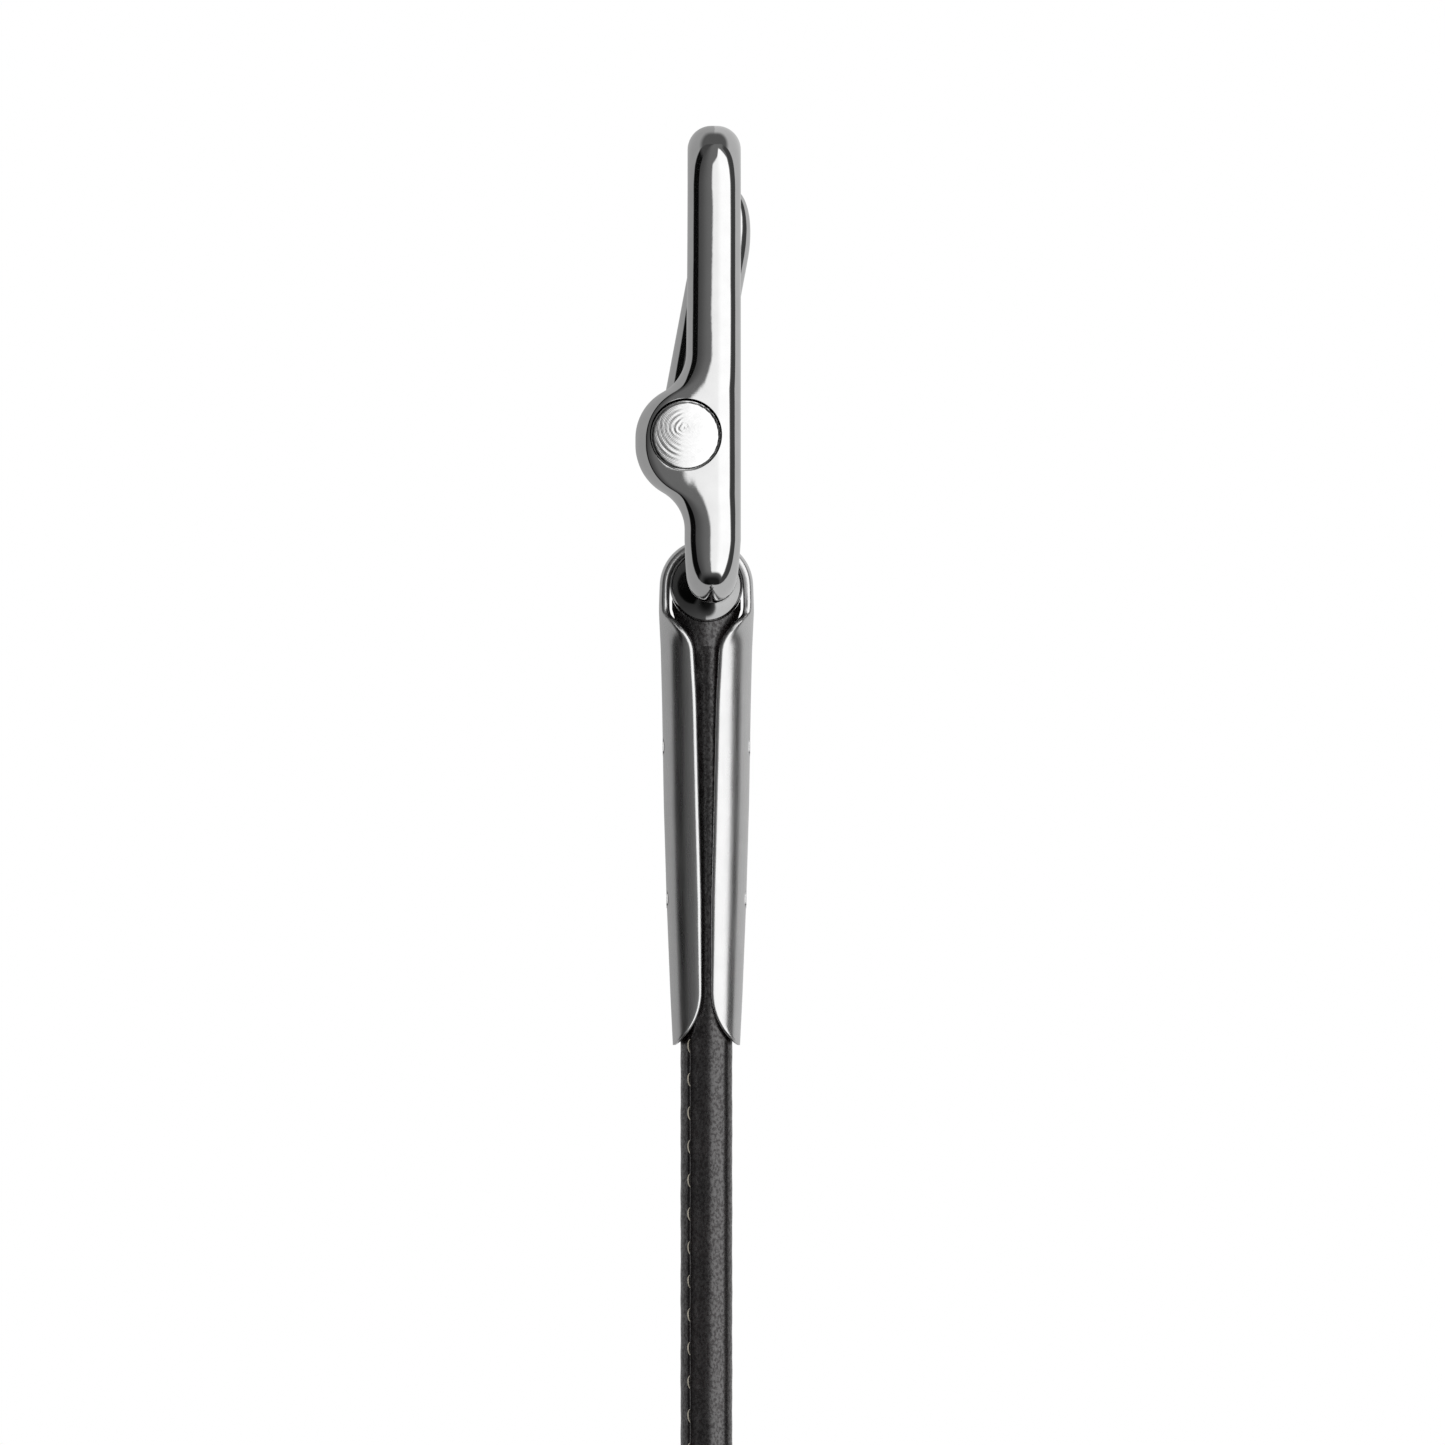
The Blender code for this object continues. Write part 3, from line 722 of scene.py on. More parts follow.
def make_roller():
    """The barrel on the lower bar that the clamp turns about, its steel painted dark as shade."""
    ends, reach = [], ROLLER_HALF
    radii = np.linspace(ROLLER_EDGE_R, ROLLER_INNER_R, 16)
    for radius in radii:
        ends.append((radius, reach))
        slope = radians(ROLLER_SLOPE + ROLLER_STEEPENS * (ROLLER_EDGE_R - radius))
        reach += tan(slope) * (radii[0] - radii[1])
    barrel = [(roller_radius(y), y) for y in np.linspace(-ROLLER_HALF, ROLLER_HALF, 41)]
    profile = [(r, -y) for r, y in ends[::-1]] + barrel[1:-1] + ends
    profile = [(0, profile[0][1])] + profile + [(0, profile[-1][1])]
    roller = turned("blackened_roller", profile, (0, 1, 0), (AXIS_X, 0, ROLLER_Z), 128)
    bore = [(0, -9), (LOW_BAR, -9), (LOW_BAR, 9), (0, 9)]
    cut(roller, "DIFFERENCE", turned("bar_bore", bore, (0, 1, 0), (LOW_BAR_X, 0, FRAME_BOTTOM + LOW_BAR)))
    # the roller's steel is painted dark as the shade inside the clamp's eye
    finish_piece(roller, "shade_darkened_steel", "buckle", "buckle_frame", slot="polished_steel")


def pin_face(radius, angle):
    """How far the pin's end stands out: a low dome, with the lathe's spiral ridges about a point beside its
    middle."""
    x, z = radius * cos(angle), radius * sin(angle)
    dome = 0.34 * (1 - (radius / PIN_HEAD) ** 2) - 0.22 * ease((radius - PIN_HEAD + 0.4) / 0.4) - 0.05 * x
    reach = hypot(x + 0.15, z - 0.95)
    turn = atan2(z - 0.95, x + 0.15)
    broken = 0.6 + 0.4 * sin(2.3 * turn + 1.9 * reach)
    fade = ease((PIN_HEAD - 0.35 - radius) / 0.8) * ease((1.0 - x) / 2.2) * broken
    return dome + fade * 0.016 * sin(2 * pi * reach / 0.58 + turn + 1.1 * sin(3 * turn + reach))


def make_pin():
    """The pin from one turned face over both heads and the shank to the other face."""
    angles = np.linspace(0, 2 * pi, 128, endpoint=False)
    base = FRAME_SIDE - 0.05
    neck = base + 0.05 - PIN_HEAD_DEEP
    faces = np.concatenate([[AT_AXIS], np.linspace(0.08, PIN_HEAD - 0.4, 56),
                            np.linspace(PIN_HEAD - 0.35, PIN_HEAD, 8)])

    def ring(radius, reach):
        return [(PIN[0] + radius * cos(a), reach(a), PIN[2] + radius * sin(a)) for a in angles]

    rings = [ring(radius, lambda a: -base - pin_face(radius, a)) for radius in faces]
    rings += [ring(radius, lambda a: reach) for radius, reach in (
        (PIN_HEAD, -neck), (PIN_SHANK, -neck), (PIN_SHANK, neck), (PIN_HEAD, neck))]
    rings += [ring(radius, lambda a: base + pin_face(radius, pi - a)) for radius in faces[::-1]]
    finish_piece(skin("riveted_pin", rings), "turned_steel", "buckle", "cross_pin")


def make_tongue():
    tongue = skin("polished_tongue", tongue_rings())
    edge = 0.7
    profile = [(0, -HUB_HALF)]
    for side in (-1, 1):
        turns = [radians(a) for a in range(0, 91, 15)]
        arc = [(HUB_R - edge + edge * sin(a), side * (HUB_HALF - edge + edge * cos(a))) for a in turns]
        profile += arc if side < 0 else arc[::-1]
    profile.append((0, HUB_HALF))
    hub = turned("hub", profile, (0, 1, 0), (PIN[0], 0, PIN[2]))
    cut(tongue, "UNION", hub)
    blend = tongue.modifiers.new("cast", "REMESH")
    blend.mode = "VOXEL"
    blend.voxel_size = 0.17 * MM
    evened = tongue.modifiers.new("even", "SMOOTH")
    evened.factor = 0.6
    evened.iterations = 14
    settle(tongue, 180)
    cut(tongue, "DIFFERENCE", cross_cylinder("hub_bore", PIN_SHANK + 0.12, HUB_HALF + 2))
    finish_piece(tongue, "polished_steel", "tongue", "tongue")


# Clamp


def clamp_stations():
    """Places along the strip: x, z, inward x, inward z, thickness, half width and curvature across it."""
    heights = np.concatenate([CLAMP_TIP + (ROUND_Z - CLAMP_TIP) * np.linspace(0, 1, 40) ** 1.6,
                              np.linspace(ROUND_Z, SHOULDER_Z, 60)[1:],
                              np.linspace(SHOULDER_Z, NECK_Z, 30)[1:],
                              np.linspace(NECK_Z, ROLLER_Z, 10)[1:-1]])
    left = []
    for z in heights:
        half = between(CHEEK, z)
        full = between(CHEEK_WIDE, z)
        width = full
        if z < ROUND_Z:
            width = full * sqrt(1 - ((ROUND_Z - z) / ROUND_LONG) ** 2)
        elif z > SHOULDER_Z:
            rise = min((z - SHOULDER_Z) / (NECK_Z - SHOULDER_Z), 1.0)
            width = WAIST + (CHEEK_WIDE[0][1] - WAIST) * sqrt(1 - rise * rise)
        dish = ease((NECK_Z + 2 - z) / (NECK_Z + 1 - SHOULDER_Z))
        bend = EYE_DISH + (1 / half - EYE_DISH) * dish
        thick = STRIP_TIP + (STRIP - STRIP_TIP) * ease((z - CLAMP_TIP) / 20)
        thick *= 0.5 + 0.5 * sqrt(min((z - CLAMP_TIP) / 0.6, 1.0))
        left.append((AXIS_X - half, z, 1.0, 0.0, thick, width, bend))
    arch = [(AXIS_X + EYE_R * cos(a), ROLLER_Z + EYE_R * sin(a), -cos(a), -sin(a), STRIP, WAIST, EYE_DISH)
            for a in np.linspace(pi, 0, 60)]
    right = [(2 * AXIS_X - x, z, -1.0, 0.0, *rest) for x, z, _, _, *rest in left[::-1]]
    return left + arch + right


def clamp_ring(x, z, in_x, in_z, thick, width, bend, steps=22, rim=5):
    """The strip's section at one station, with round rims."""
    reach = width - thick / 2

    def point(along, deep):
        a = bend * along
        lift = (1 - cos(a)) / bend + deep * cos(a)
        return x + in_x * lift, sin(a) / bend - deep * sin(a), z + in_z * lift

    places = np.linspace(-reach, reach, steps)
    outside = [point(s, 0.0) for s in places]
    inside = [point(s, thick) for s in places[::-1]]
    bends = np.linspace(0, pi, rim + 2)[1:-1]
    far = [point(reach + thick / 2 * sin(a), thick / 2 * (1 - cos(a))) for a in bends]
    near = [point(-reach - thick / 2 * sin(a), thick / 2 * (1 + cos(a))) for a in bends]
    return outside + far + inside + near


def smoothed(stations, passes=3):
    """Evens out the strip's width, curvature and place from one station to the next."""
    table = np.array(stations, float)
    in_tip = table[1:-1, 1] < ROUND_Z
    for _ in range(passes):
        inner = (table[:-2] + 2 * table[1:-1] + table[2:]) / 4
        inner[:, 5] = np.where(in_tip, table[1:-1, 5], inner[:, 5])
        table[1:-1] = inner
    return table


def make_clamp():
    clamp = skin("folded_clamp", [clamp_ring(*station) for station in smoothed(clamp_stations())])
    finish_piece(clamp, "strip_steel", "crop", "clamp", slot="polished_steel")
    for word, z in zip(("upper", "lower"), RIVETS_Z):
        reach = between(CHEEK, z) - 0.03
        dome = [(RIVET_HEAD * sin(a), 0.05 * cos(a)) for a in np.linspace(0.01, pi / 2, 10)]
        profile = [(r, -reach - rise) for r, rise in dome] + [(r, reach + rise) for r, rise in dome[::-1]]
        rivet = turned(f"{word}_flush_rivet", profile, (1, 0, 0), (AXIS_X, 0, z), 40)
        finish_piece(rivet, "turned_steel", "crop", f"{word}_rivet")


# Leather covers and their seam


def seam_shape(off):
    """The seam across the cover, off mm from its line: a narrow groove on the flank of a raised ridge."""
    return -0.1 * np.exp(-((off / 0.16) ** 2)) + 0.2 * np.exp(-(((off - 0.5) / 0.8) ** 2))


def cover_radius(z, turn=None):
    """The cover's radius at height z, towards turn where its slightly oval section matters."""
    share = max(0.0, (LOWER_HIGH[2] - 7.0 - z) / (LOWER_HIGH[2] - 7.0 - LOWER_LOW[2]))
    plain = COVER_R + (COVER_TIP_R - COVER_R) * share
    if turn is None:
        return plain
    return plain * (1 - COVER_OVAL * 0.66 + COVER_OVAL * np.cos(2 * (turn - OVAL_ANGLE)))


def level_ring(radius, turn, z):
    """A ring of points about the crop's axis at height z."""
    return np.stack([AXIS_X + radius * np.cos(turn), radius * np.sin(turn), np.full(len(turn), z)], 1)


def make_cover(word, low, high):
    """A leather tube drawn over the rod and sewn along one side."""
    near = np.linspace(-0.5, 0.5, 41)[:-1]
    far = np.linspace(0.5, 2 * pi - 0.5, 56)[:-1]
    angles = np.concatenate([near, far])
    off = ((angles + pi) % (2 * pi) - pi) * COVER_R
    turn = SEAM_ANGLE + angles
    rings = []
    for z in np.arange(high, low, -0.75):
        wave = 0.015 * np.sin(z * 1.9 + 3 * np.sin(angles)) + 0.012 * np.sin(z * 0.61 + 2 * angles)
        pull = 1 + 0.35 * cos(2 * pi * (z - FIRST_STITCH) / (sizes().stitch_pitch / MM))
        radius = cover_radius(z, turn) + seam_shape(off) * pull + wave
        lip = min(1.0, (high - z) / 0.5)
        radius -= 0.35 * (1 - sqrt(1 - (1 - lip) ** 2))
        rings.append(level_ring(radius, turn, z))
    rings += [level_ring(cover_radius(z) - COVER_WALL, turn, z) for z in np.linspace(low, high - 0.1, 12)]
    finish_piece(skin(f"{word}_stitched_cover", rings, loop=True), "dark_leather", "crop", f"{word}_cover")


def make_saddle():
    """The leather that fills the clamp below the roller, hollowed to its curve."""
    rings = []
    for x in np.linspace(-SADDLE_HALF, SADDLE_HALF, 41):
        deep = SADDLE_DEEP * sqrt(1 - (x / (SADDLE_HALF + 0.5)) ** 2)
        low = SADDLE_LOW + 4.6 * max(0.0, (abs(x) - 3.0) / (SADDLE_HALF - 3.0))
        ring = [(AXIS_X + x, deep, low), (AXIS_X + x, -deep, low)]
        for y in np.linspace(-deep, deep, 13):
            hollow = roller_radius(y) + ROLLER_ROOM
            ring.append((AXIS_X + x, y, ROLLER_Z - sqrt(hollow**2 - x * x)))
        rings.append(ring)
    finish_piece(skin("leather_saddle", rings), "dark_leather", "crop", "upper_cover")


def pitch_tree():
    """Nodes that repeat a shape at an even pitch along a path, each copy turned a little unevenly."""
    tree = bpy.data.node_groups.get("Along a path")
    if tree:
        return tree
    tree = bpy.data.node_groups.new("Along a path", "GeometryNodeTree")
    face = tree.interface
    face.new_socket("Path", in_out="INPUT", socket_type="NodeSocketGeometry")
    for name, kind, default in (("Pitch", "NodeSocketFloat", 0.004), ("Unevenness", "NodeSocketFloat", 0.0),
                                ("Seed", "NodeSocketInt", 1)):
        face.new_socket(name, in_out="INPUT", socket_type=kind).default_value = default
    face.new_socket("Shape", in_out="INPUT", socket_type="NodeSocketObject")
    face.new_socket("Finish", in_out="INPUT", socket_type="NodeSocketMaterial")
    face.new_socket("Result", in_out="OUTPUT", socket_type="NodeSocketGeometry")
    given = tree.nodes.new("NodeGroupInput")
    ask = {socket.name: Signal(tree, socket) for socket in given.outputs}
    points = add_node(tree, "GeometryNodeCurveToPoints", {"mode": "LENGTH"},
                      {"Curve": ask["Path"], "Length": ask["Pitch"]})
    facing = Signal(tree, points.socket.node.outputs["Rotation"])
    wobble = add_node(tree, "FunctionNodeRandomValue", {"data_type": "FLOAT"},
                      {"Min": -1.0, "Max": 1.0, "Seed": ask["Seed"]}, 1)
    about = add_node(tree, "ShaderNodeCombineXYZ", {}, {0: wobble * ask["Unevenness"]})
    turned_by = add_node(tree, "FunctionNodeRotateRotation", {"rotation_space": "LOCAL"},
                         {0: facing, 1: about})
    shape = add_node(tree, "GeometryNodeObjectInfo", {}, {"Object": ask["Shape"]}, "Geometry")
    placed = add_node(tree, "GeometryNodeInstanceOnPoints", {},
                      {"Points": points, "Instance": shape, "Rotation": turned_by})
    real = add_node(tree, "GeometryNodeRealizeInstances", {}, {0: placed})
    done = add_node(tree, "GeometryNodeSetMaterial", {}, {"Geometry": real, "Material": ask["Finish"]})
    out = tree.nodes.new("NodeGroupOutput")
    tree.links.new(done.socket, out.inputs[0])
    return tree


def repeat_along(name, path, shape, finish, pitch, unevenness=0.0):
    """A mesh piece of copies of shape along a path of points in mm. shape is used up."""
    line = bpy.data.curves.new(name + "_path", "CURVE")
    line.dimensions = "3D"
    line.twist_mode = "Z_UP"
    spline = line.splines.new("POLY")
    spline.points.add(len(path) - 1)
    for point, place in zip(spline.points, path):
        point.co = (*(c * MM for c in place), 1.0)
    carrier = new_object(name + "_path", line)
    modifier = carrier.modifiers.new("along", "NODES")
    modifier.node_group = pitch_tree()
    values = {"Pitch": pitch, "Unevenness": unevenness, "Shape": shape, "Finish": material(finish)}
    for item in modifier.node_group.interface.items_tree:
        if item.in_out == "INPUT" and item.name in values:
            modifier[item.identifier] = values[item.name]
    bpy.context.view_layer.update()
    evaluated = carrier.evaluated_get(bpy.context.evaluated_depsgraph_get())
    mesh = bpy.data.meshes.new_from_object(evaluated)
    mesh.name = name
    bpy.data.objects.remove(carrier)
    bpy.data.objects.remove(shape)
    mesh.shade_smooth()
    if not mesh.polygons:
        raise RuntimeError(f"{name} came out empty")
    return new_object(name, mesh)


def stitch_shape(long, radius, sink):
    """One stitch: thread that comes up out of one hole and goes down into the next. Its length is along Z."""
    rings = []
    for share in np.linspace(-1, 1, 11):
        lift = radius * 0.9 - (sink + radius) * abs(share) ** 3
        thick = radius * (1 - 0.45 * share * share)
        rings.append([(lift + thick * cos(a), -0.08 * (1 - share * share) + thick * sin(a), share * long / 2)
                      for a in np.linspace(0, 2 * pi, 7)[:-1]])
    return skin("stitch_shape", rings)


def make_seam(word, low, high):
    """Thread that shows along a cover's seam."""
    count = int((high - low) / (sizes().stitch_pitch / MM))
    ends = (high, high - count * sizes().stitch_pitch / MM)
    path = []
    for z in ends:
        radius = cover_radius(z, SEAM_ANGLE) + seam_shape(0.0) + 0.12
        path.append((AXIS_X + radius * cos(SEAM_ANGLE), radius * sin(SEAM_ANGLE), z))
    shape = stitch_shape(sizes().stitch_long / MM, sizes().thread / MM, 0.2)
    shape.data.transform(Matrix.Rotation(SEAM_ANGLE, 4, "Z") @ Matrix.Rotation(radians(-7), 4, "X"))
    seam = repeat_along(f"{word}_seam_stitches", path, shape, "linen_thread", sizes().stitch_pitch * 0.9999,
                        unevenness=0.05)
    finish_piece(seam, "linen_thread", "crop", f"{word}_seam_thread")


def make_covers():
    make_cover("upper", UPPER_LOW[2], UPPER_HIGH[2])
    make_cover("lower", LOWER_LOW[2], LOWER_HIGH[2])
    make_seam("upper", UPPER_LOW[2] + 9, FIRST_STITCH)
    make_seam("lower", WHIP_HIGH[2] + 2, LOWER_HIGH[2] - 9)


# Grip


def make_grip():
    """A leather strip wound round the cork, each turn lapping over the last."""
    low, high = GRIP_LOW[2], GRIP_HIGH[2]
    middle, half = (low + high) / 2, (high - low) / 2
    pitch = sizes().wrap_pitch / MM
    angles = np.linspace(0, 2 * pi, 97)[:-1]

    def swell(z):
        return GRIP_R + GRIP_SWELL * (1 - ((z - middle) / half) ** 2)

    rings = []
    for z in np.arange(high, low, -0.42):
        phase = ((z - high) / pitch + angles / (2 * pi)) % 1.0
        crown = 0.10 * np.sin(pi * phase)
        step = GRIP_LAP * (phase - 1) + GRIP_LAP * np.exp(-((phase / 0.022) ** 2)) * 0.5
        crease = -0.12 * np.exp(-(((phase - 0.985) / 0.02) ** 2))
        rough = 0.02 * np.sin(5 * angles + z * 0.9) * np.sin(z * 1.7)
        rings.append(level_ring(swell(z) + crown + step + crease + rough, angles, z))
    rings += [level_ring(swell(z) - GRIP_WALL, angles, z) for z in np.linspace(low, high, 12)]
    finish_piece(skin("wound_grip", rings, loop=True), "grip_leather", "crop", "grip_wrap")


def make_collars():
    """Turned collars with two beads and a rolled lip."""
    bore = COVER_R + 0.12
    angles = np.linspace(0, 2 * pi, 96, endpoint=False)
    for word, sign in (("upper", -1), ("lower", 1)):
        node = word + "_collar"
        low, high = node_box(node)
        start = high[2] if sign < 0 else low[2]
        outer = [(bore, 0.25), (bore + 0.25, 0.0)]
        outer += [(bore + 0.3 + (COLLAR_R - bore - 0.75) * share, 0.02 + 2.3 * (1 - sqrt(1 - share**2)))
                  for share in np.linspace(0, 1, 14)[1:]]
        for place in COLLAR_BEADS:
            outer += [(COLLAR_R - 0.35 + 0.42 * sin(a), place - 0.5 * cos(a)) for a in np.linspace(0, pi, 9)]
        outer += [(COLLAR_R - 0.35, 5.1), (COLLAR_R - 0.3, COLLAR_HIGH - 1.5)]
        outer += [(COLLAR_R - 0.3 + 0.38 * sin(a), COLLAR_HIGH - 0.75 - 0.7 * cos(a))
                  for a in np.linspace(0.2, pi - 0.3, 9)]
        outer.append((bore, COLLAR_HIGH))
        rings = [level_ring(radius, angles, start + sign * reach) for radius, reach in outer]
        finish_piece(skin(f"{word}_polished_collar", rings, loop=True), "polished_steel", "crop", node)


# Keeper


def keeper_half(z):
    """Half width of a keeper leaf at height z."""
    if z > FLEX_Z:
        return NECK_HALF
    flare = NECK_HALF + (KEEPER_HALF - NECK_HALF) * ease((FLEX_Z - z) / (FLEX_Z - KEEPER_WIDE))
    low = KEEPER_LOW[2] + KEEPER_ROUND
    if z >= low:
        return flare
    share = min((low - z) / KEEPER_ROUND, 1.0)
    return KEEPER_HALF - KEEPER_ROUND * (1 - sqrt(max(0.0, 1 - share * share)))


def leaf_face(z):
    """How far a leaf's inner face stands off the crop's axis."""
    beside_tip = COVER_TIP_R + GAP + 0.15
    on_board = STIFFENER / 2 + GAP
    return beside_tip + (on_board - beside_tip) * ease((CORE_END + 2 - z) / 10)


def leaf_section(z, sign):
    """A leaf's section at height z, pressed in along its row of stitches."""
    half = keeper_half(z)
    rim = 0.28 if z > FLEX_Z - 6 else 0.42
    near = leaf_face(z) - 0.1
    deep = 0.16 if z < KEEPER_WIDE + 6 else 0.0
    points = []
    for x, y in rounded_section(near, near + LEAF + 0.1, -half, half, rim, 4):
        press = deep * np.exp(-(((half - abs(y) - STITCH_MARGIN) / 0.45) ** 2))
        soft = press if x > near + LEAF / 2 else 0.0
        points.append((AXIS_X + sign * (x - soft), y, z))
    return points


def make_keeper():
    low = KEEPER_LOW[2]
    heights = np.concatenate([np.linspace(NECK_TOP, FLEX_Z - 2, 60),
                              np.linspace(FLEX_Z - 2, KEEPER_WIDE, 36)[1:],
                              np.linspace(KEEPER_WIDE, low + KEEPER_ROUND, 60)[1:],
                              low + KEEPER_ROUND * (1 - np.sin(np.linspace(0, pi / 2, 26)))[1:]])
    for word, sign in (("front", 1), ("back", -1)):
        leaf = skin(f"keeper_{word}_leather", [leaf_section(z, sign) for z in heights])
        leaf.data.materials.clear()
        leaf.data.materials.append(material("dark_leather"))
        (FLEX_Z + 3) * MM
        (FLEX_Z - 3) * MM
        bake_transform(leaf)
        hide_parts(f"keeper_{word}", f"keeper_neck_{word}")
        make_keeper_stitches(word, sign)


def make_keeper_stitches(word, sign):
    """A row of stitches inside the keeper's edge, down one side, round the end and up the other."""
    face = AXIS_X + sign * (leaf_face(KEEPER_LOW[2]) + LEAF)
    bend = KEEPER_ROUND - STITCH_MARGIN
    half = KEEPER_HALF - STITCH_MARGIN
    low = KEEPER_LOW[2] + STITCH_MARGIN
    path = [(face, -half, KEEPER_WIDE + 1.0), (face, -half, low + bend)]
    path += [(face, -half + bend - bend * cos(a), low + bend - bend * sin(a))
             for a in np.linspace(0, pi / 2, 12)[1:]]
    path += [(x, -y, z) for x, y, z in path[::-1]]
    shape = stitch_shape(2.3, 0.16, 0.18)
    shape.data.transform(Matrix.Rotation(pi / 2 * sign, 4, "Z"))
    row = repeat_along(f"keeper_{word}_stitches", path, shape, "linen_thread", sizes().keeper_pitch,
                       unevenness=0.03)
    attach(row, "keeper")


def make_whipping():
    """Turns of waxed thread side by side round the keeper's neck."""
    radius = WHIP_THREAD
    half_x = (WHIP_HIGH[0] - WHIP_LOW[0]) / 2 - radius
    half_y = (WHIP_HIGH[1] - WHIP_LOW[1]) / 2 - radius
    loop = rounded_section(-half_x, half_x, -half_y, half_y, WHIP_ROUND, 8)
    rings = []
    for i, (x, y) in enumerate(loop):
        before, after = Vector(loop[i - 1]), Vector(loop[(i + 1) % len(loop)])
        along = (after - before).normalized()
        out = Vector((along.y, -along.x))
        rings.append([(x + out.x * radius * cos(a), y + out.y * radius * cos(a), radius * sin(a))
                      for a in np.linspace(0, 2 * pi, 9)[:-1]])
    shape = skin("turn_shape", rings, loop=True)
    path = [(AXIS_X, 0, WHIP_HIGH[2] - radius), (AXIS_X, 0, WHIP_LOW[2] + radius)]
    turns = repeat_along("waxed_whipping", path, shape, "waxed_thread", sizes().whip_pitch, unevenness=0.012)
    finish_piece(turns, "waxed_thread", "crop", "keeper_whipping")


# Stage


def studio_world():
    """Light from all round, as polished metal is lit: a broad soft light on the right, a black card on the
    left, a grey surround behind, and plain white where the camera looks past the object."""
    world = bpy.data.worlds.new("studio")
    bpy.context.scene.world = world
    world.use_nodes = True
    tree = world.node_tree
    tree.nodes.clear()
    place = add_node(tree, "ShaderNodeTexCoord", {}, {}, "Generated")
    x, y, z = place.parts()
    turn = x.maths("ARCTAN2", x, -1 * y) * (180 / pi)
    rise = z.maths("ARCSINE", z) * (180 / pi)

    def band(value, ends, soft):
        low, high = ends
        return value.over(low - soft, low + soft) * (1 - value.over(high - soft, high + soft))

    behind = 0.45 + turn.over(-60, 60) * 0.2
    behind = behind + (0.13 - behind) * rise.over(46, 62)
    front = (0.08 + turn.over(-70, 4) * 0.13) * (0.08 + rise.over(-76, -56) * 0.92)
    level = band(turn, FRONT_TURN, 1.5)
    light = front * level + behind * (1 - level)
    for card_turn, card_rise, shade in (BLACK_CARD, GREY_CARD):
        card = band(turn, card_turn, 1.5) * band(rise, card_rise, 6)
        light = light * (1 - card) + card * shade
    aside = (turn - ARCH_TURN) / ARCH_HALF
    arch = ARCH_TOP - ARCH_DROP * aside * aside
    soft_box = band(turn, BOX_TURN, 1.0) * rise.over(*BOX_FOOT) * (1 - (rise - arch).over(-3, 3))
    light = light * (1 - soft_box) + soft_box * (1.34 + turn.over(-2, 24) * 0.26)
    lit = add_node(tree, "ShaderNodeBackground", {}, {0: (1, 1, 1, 1), 1: light})
    plain = add_node(tree, "ShaderNodeBackground", {}, {0: (1, 1, 1, 1), 1: 1.0})
    mirrored = add_node(tree, "ShaderNodeLightPath", {}, {}, "Is Glossy Ray")
    mixed = add_node(tree, "ShaderNodeMixShader", {}, {0: mirrored, 1: plain, 2: lit})
    out = tree.nodes.new("ShaderNodeOutputWorld")
    tree.links.new(mixed.socket, out.inputs[0])


def make_stage():
    scene = bpy.context.scene
    scene.view_settings.view_transform = "Standard"
    studio_world()
    data = bpy.data.cameras.new("studio_camera")
    data.sensor_width = 36.0
    data.lens = data.sensor_width * CAMERA_AWAY / CAMERA_FIELD
    data.clip_end = 40.0
    camera = bpy.data.objects.new("studio_camera", data)
    scene.collection.objects.link(camera)
    camera.location = (1.06 * MM, -CAMERA_AWAY, FRAME_TOP * MM - 74.44 * MM)
    camera.rotation_euler = (pi / 2, 0, 0)
    scene.camera = camera

    bm = bmesh.new()
    bmesh.ops.create_circle(bm, cap_ends=True, segments=96, radius=FLOOR_R)
    mesh = bpy.data.meshes.new("pale_floor")
    bm.to_mesh(mesh)
    bm.free()
    mesh.transform(Matrix.Translation((0, 0, KEEPER_LOW[2] * MM - FLOOR_DROP)))
    floor = new_object("pale_floor", mesh)
    pale = Finish("pale_floor")
    mottle = pale.noise(pale.at((1, 1, 1)), 6.0, 3.0)
    pale.set(base_color=mottle.mix((0.8, 0.8, 0.8, 1), (0.86, 0.86, 0.86, 1)), roughness=0.7)
    mesh.materials.append(pale.material)
    floor.visible_glossy = False  # the studio's lights alone show in the steel


def finish_inner_pieces():
    """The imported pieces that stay: the rod, the cork and the keeper's board."""
    for node, finish in (("core_rod", "glass_fibre"), ("grip_cork", "cork"),
                         ("keeper_board", "leather_board")):
        packed = frame["nodes"][node]
        packed.data.materials.clear()
        packed.data.materials.append(material(finish))


# Add-on


class CropOperator:
    """What the operators share: each runs its steps once."""

    bl_options = {"REGISTER"}

    def execute(self, context):
        for step in self.steps:
            step()
        return {"FINISHED"}


class CROP_OT_stage(CropOperator, bpy.types.Operator):
    """Set up the floor, the studio light and the camera"""

    bl_idname = "crop.stage"
    bl_label = "Stage"
    steps = (make_stage,)


class CROP_OT_buckle(CropOperator, bpy.types.Operator):
    """Make the buckle's polished frame and the roller on its lower bar, its steel painted dark as shade"""

    bl_idname = "crop.buckle"
    bl_label = "Buckle frame and roller"
    steps = (make_frame, make_roller)


class CROP_OT_pin(CropOperator, bpy.types.Operator):
    """Make the riveted cross pin and the tongue that turns on it"""

    bl_idname = "crop.pin"
    bl_label = "Pin and tongue"
    steps = (make_pin, make_tongue)


class CROP_OT_clamp(CropOperator, bpy.types.Operator):
    """Make the folded clamp and its rivets"""

    bl_idname = "crop.clamp"
    bl_label = "Clamp"
    steps = (make_clamp,)


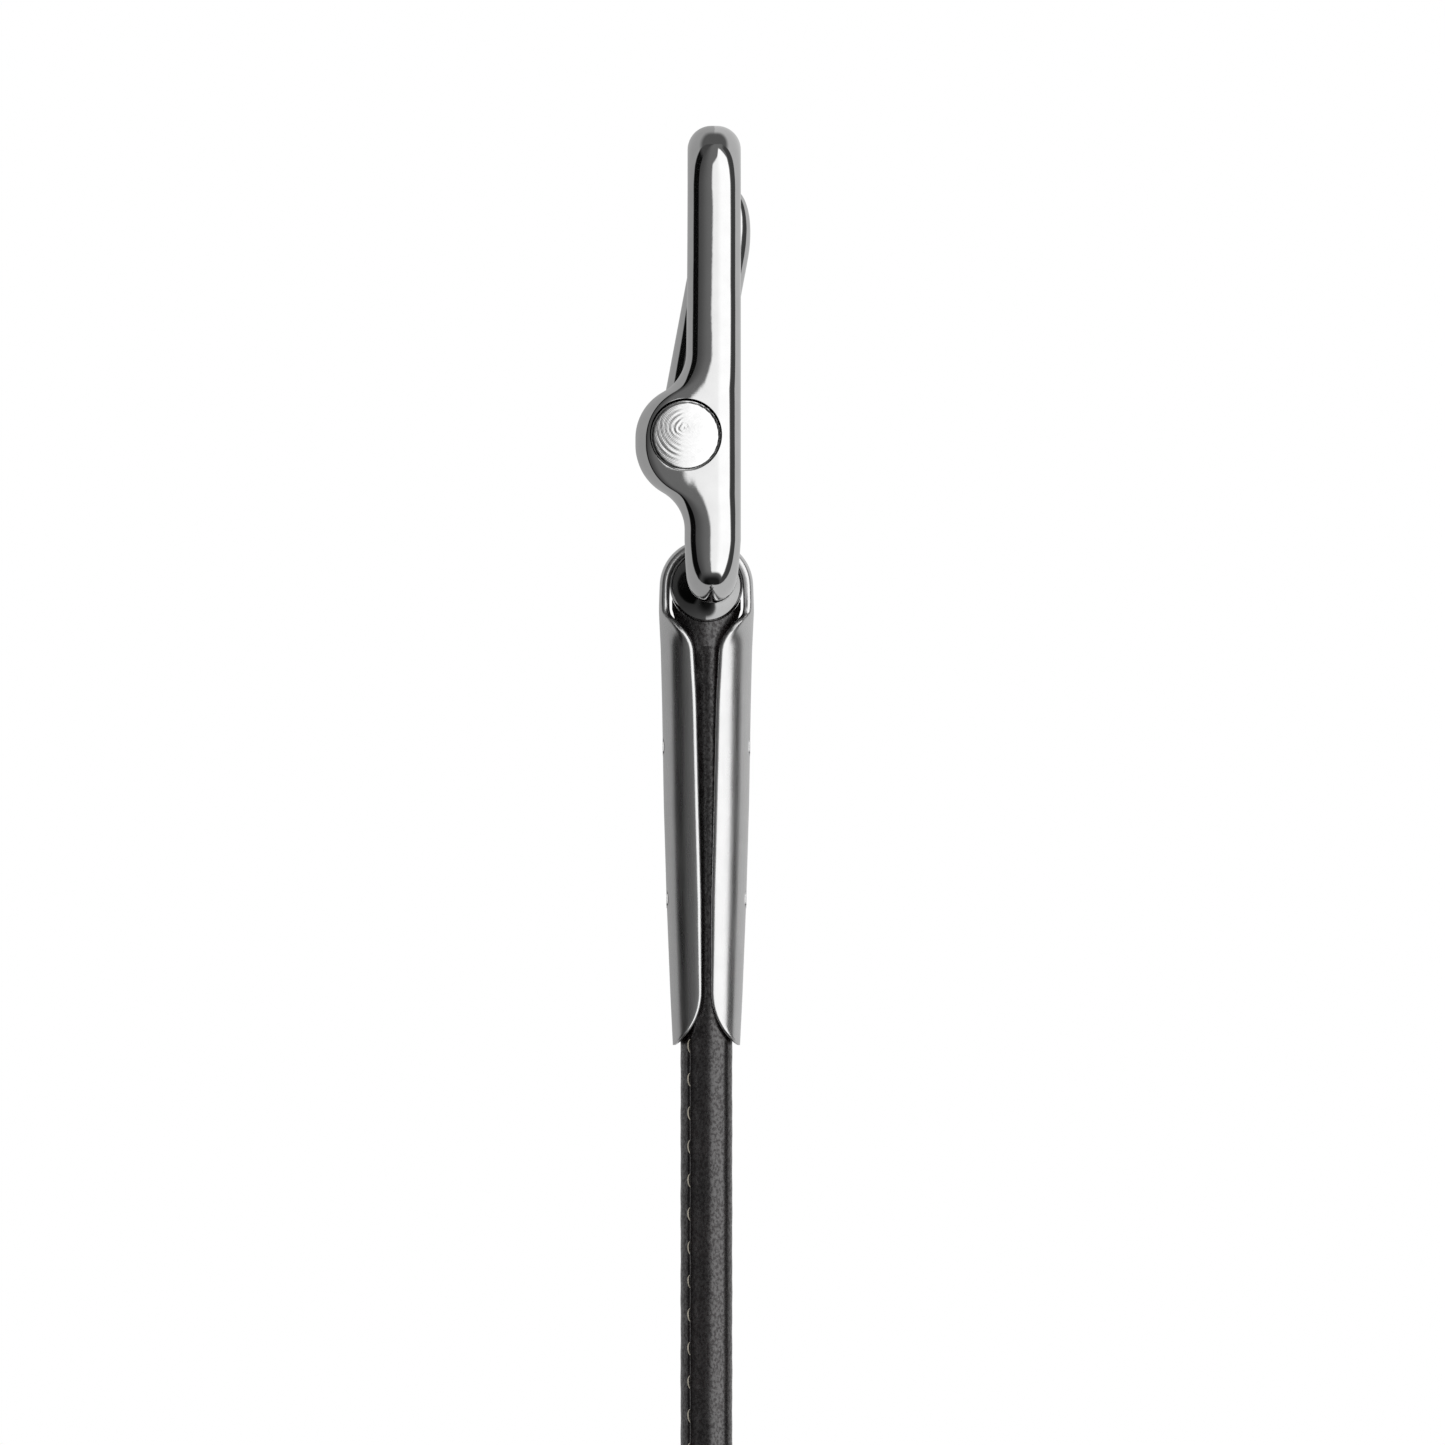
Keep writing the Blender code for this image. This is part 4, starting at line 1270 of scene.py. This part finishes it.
class CROP_OT_covers(CropOperator, bpy.types.Operator):
    """Make the leather covers and their stitched seam"""

    bl_idname = "crop.covers"
    bl_label = "Covers and seam"
    steps = (make_saddle, make_covers)


class CROP_OT_grip(CropOperator, bpy.types.Operator):
    """Make the wound leather grip and the collars at its ends"""

    bl_idname = "crop.grip"
    bl_label = "Grip and collars"
    steps = (make_grip, make_collars)


class CROP_OT_keeper(CropOperator, bpy.types.Operator):
    """Make the keeper's leather leaves, their stitches and the whipping"""

    bl_idname = "crop.keeper"
    bl_label = "Keeper"
    steps = (make_keeper, make_whipping)


class CROP_OT_inside(CropOperator, bpy.types.Operator):
    """Finish the rod, cork and board inside"""

    bl_idname = "crop.inside"
    bl_label = "Inner pieces"
    steps = (finish_inner_pieces,)


OPERATORS = (CROP_OT_stage, CROP_OT_buckle, CROP_OT_pin, CROP_OT_clamp, CROP_OT_covers, CROP_OT_grip,
             CROP_OT_keeper, CROP_OT_inside)


class CROP_PT_panel(bpy.types.Panel):
    """The crop's sizes, colours and pieces"""

    bl_label = "Riding crop"
    bl_idname = "CROP_PT_panel"
    bl_space_type = "VIEW_3D"
    bl_region_type = "UI"
    bl_category = "Riding crop"

    def draw(self, context):
        for group in (context.scene.crop_sizes, context.scene.crop_colours):
            for name in group.bl_rna.properties.keys():
                if name not in ("rna_type", "name"):
                    self.layout.prop(group, name)
        for operator in OPERATORS:
            self.layout.operator(operator.bl_idname)


CLASSES = (CropSizes, CropColours, *OPERATORS, CROP_PT_panel)


def register():
    for cls in CLASSES:
        bpy.utils.register_class(cls)
    bpy.types.Scene.crop_sizes = bpy.props.PointerProperty(type=CropSizes)
    bpy.types.Scene.crop_colours = bpy.props.PointerProperty(type=CropColours)


def unregister():
    del bpy.types.Scene.crop_colours
    del bpy.types.Scene.crop_sizes
    for cls in reversed(CLASSES):
        bpy.utils.unregister_class(cls)


def main():
    register()
    for operator in OPERATORS:
        group, name = operator.bl_idname.split(".")
        getattr(getattr(bpy.ops, group), name)()


if __name__ == "__main__":
    main()
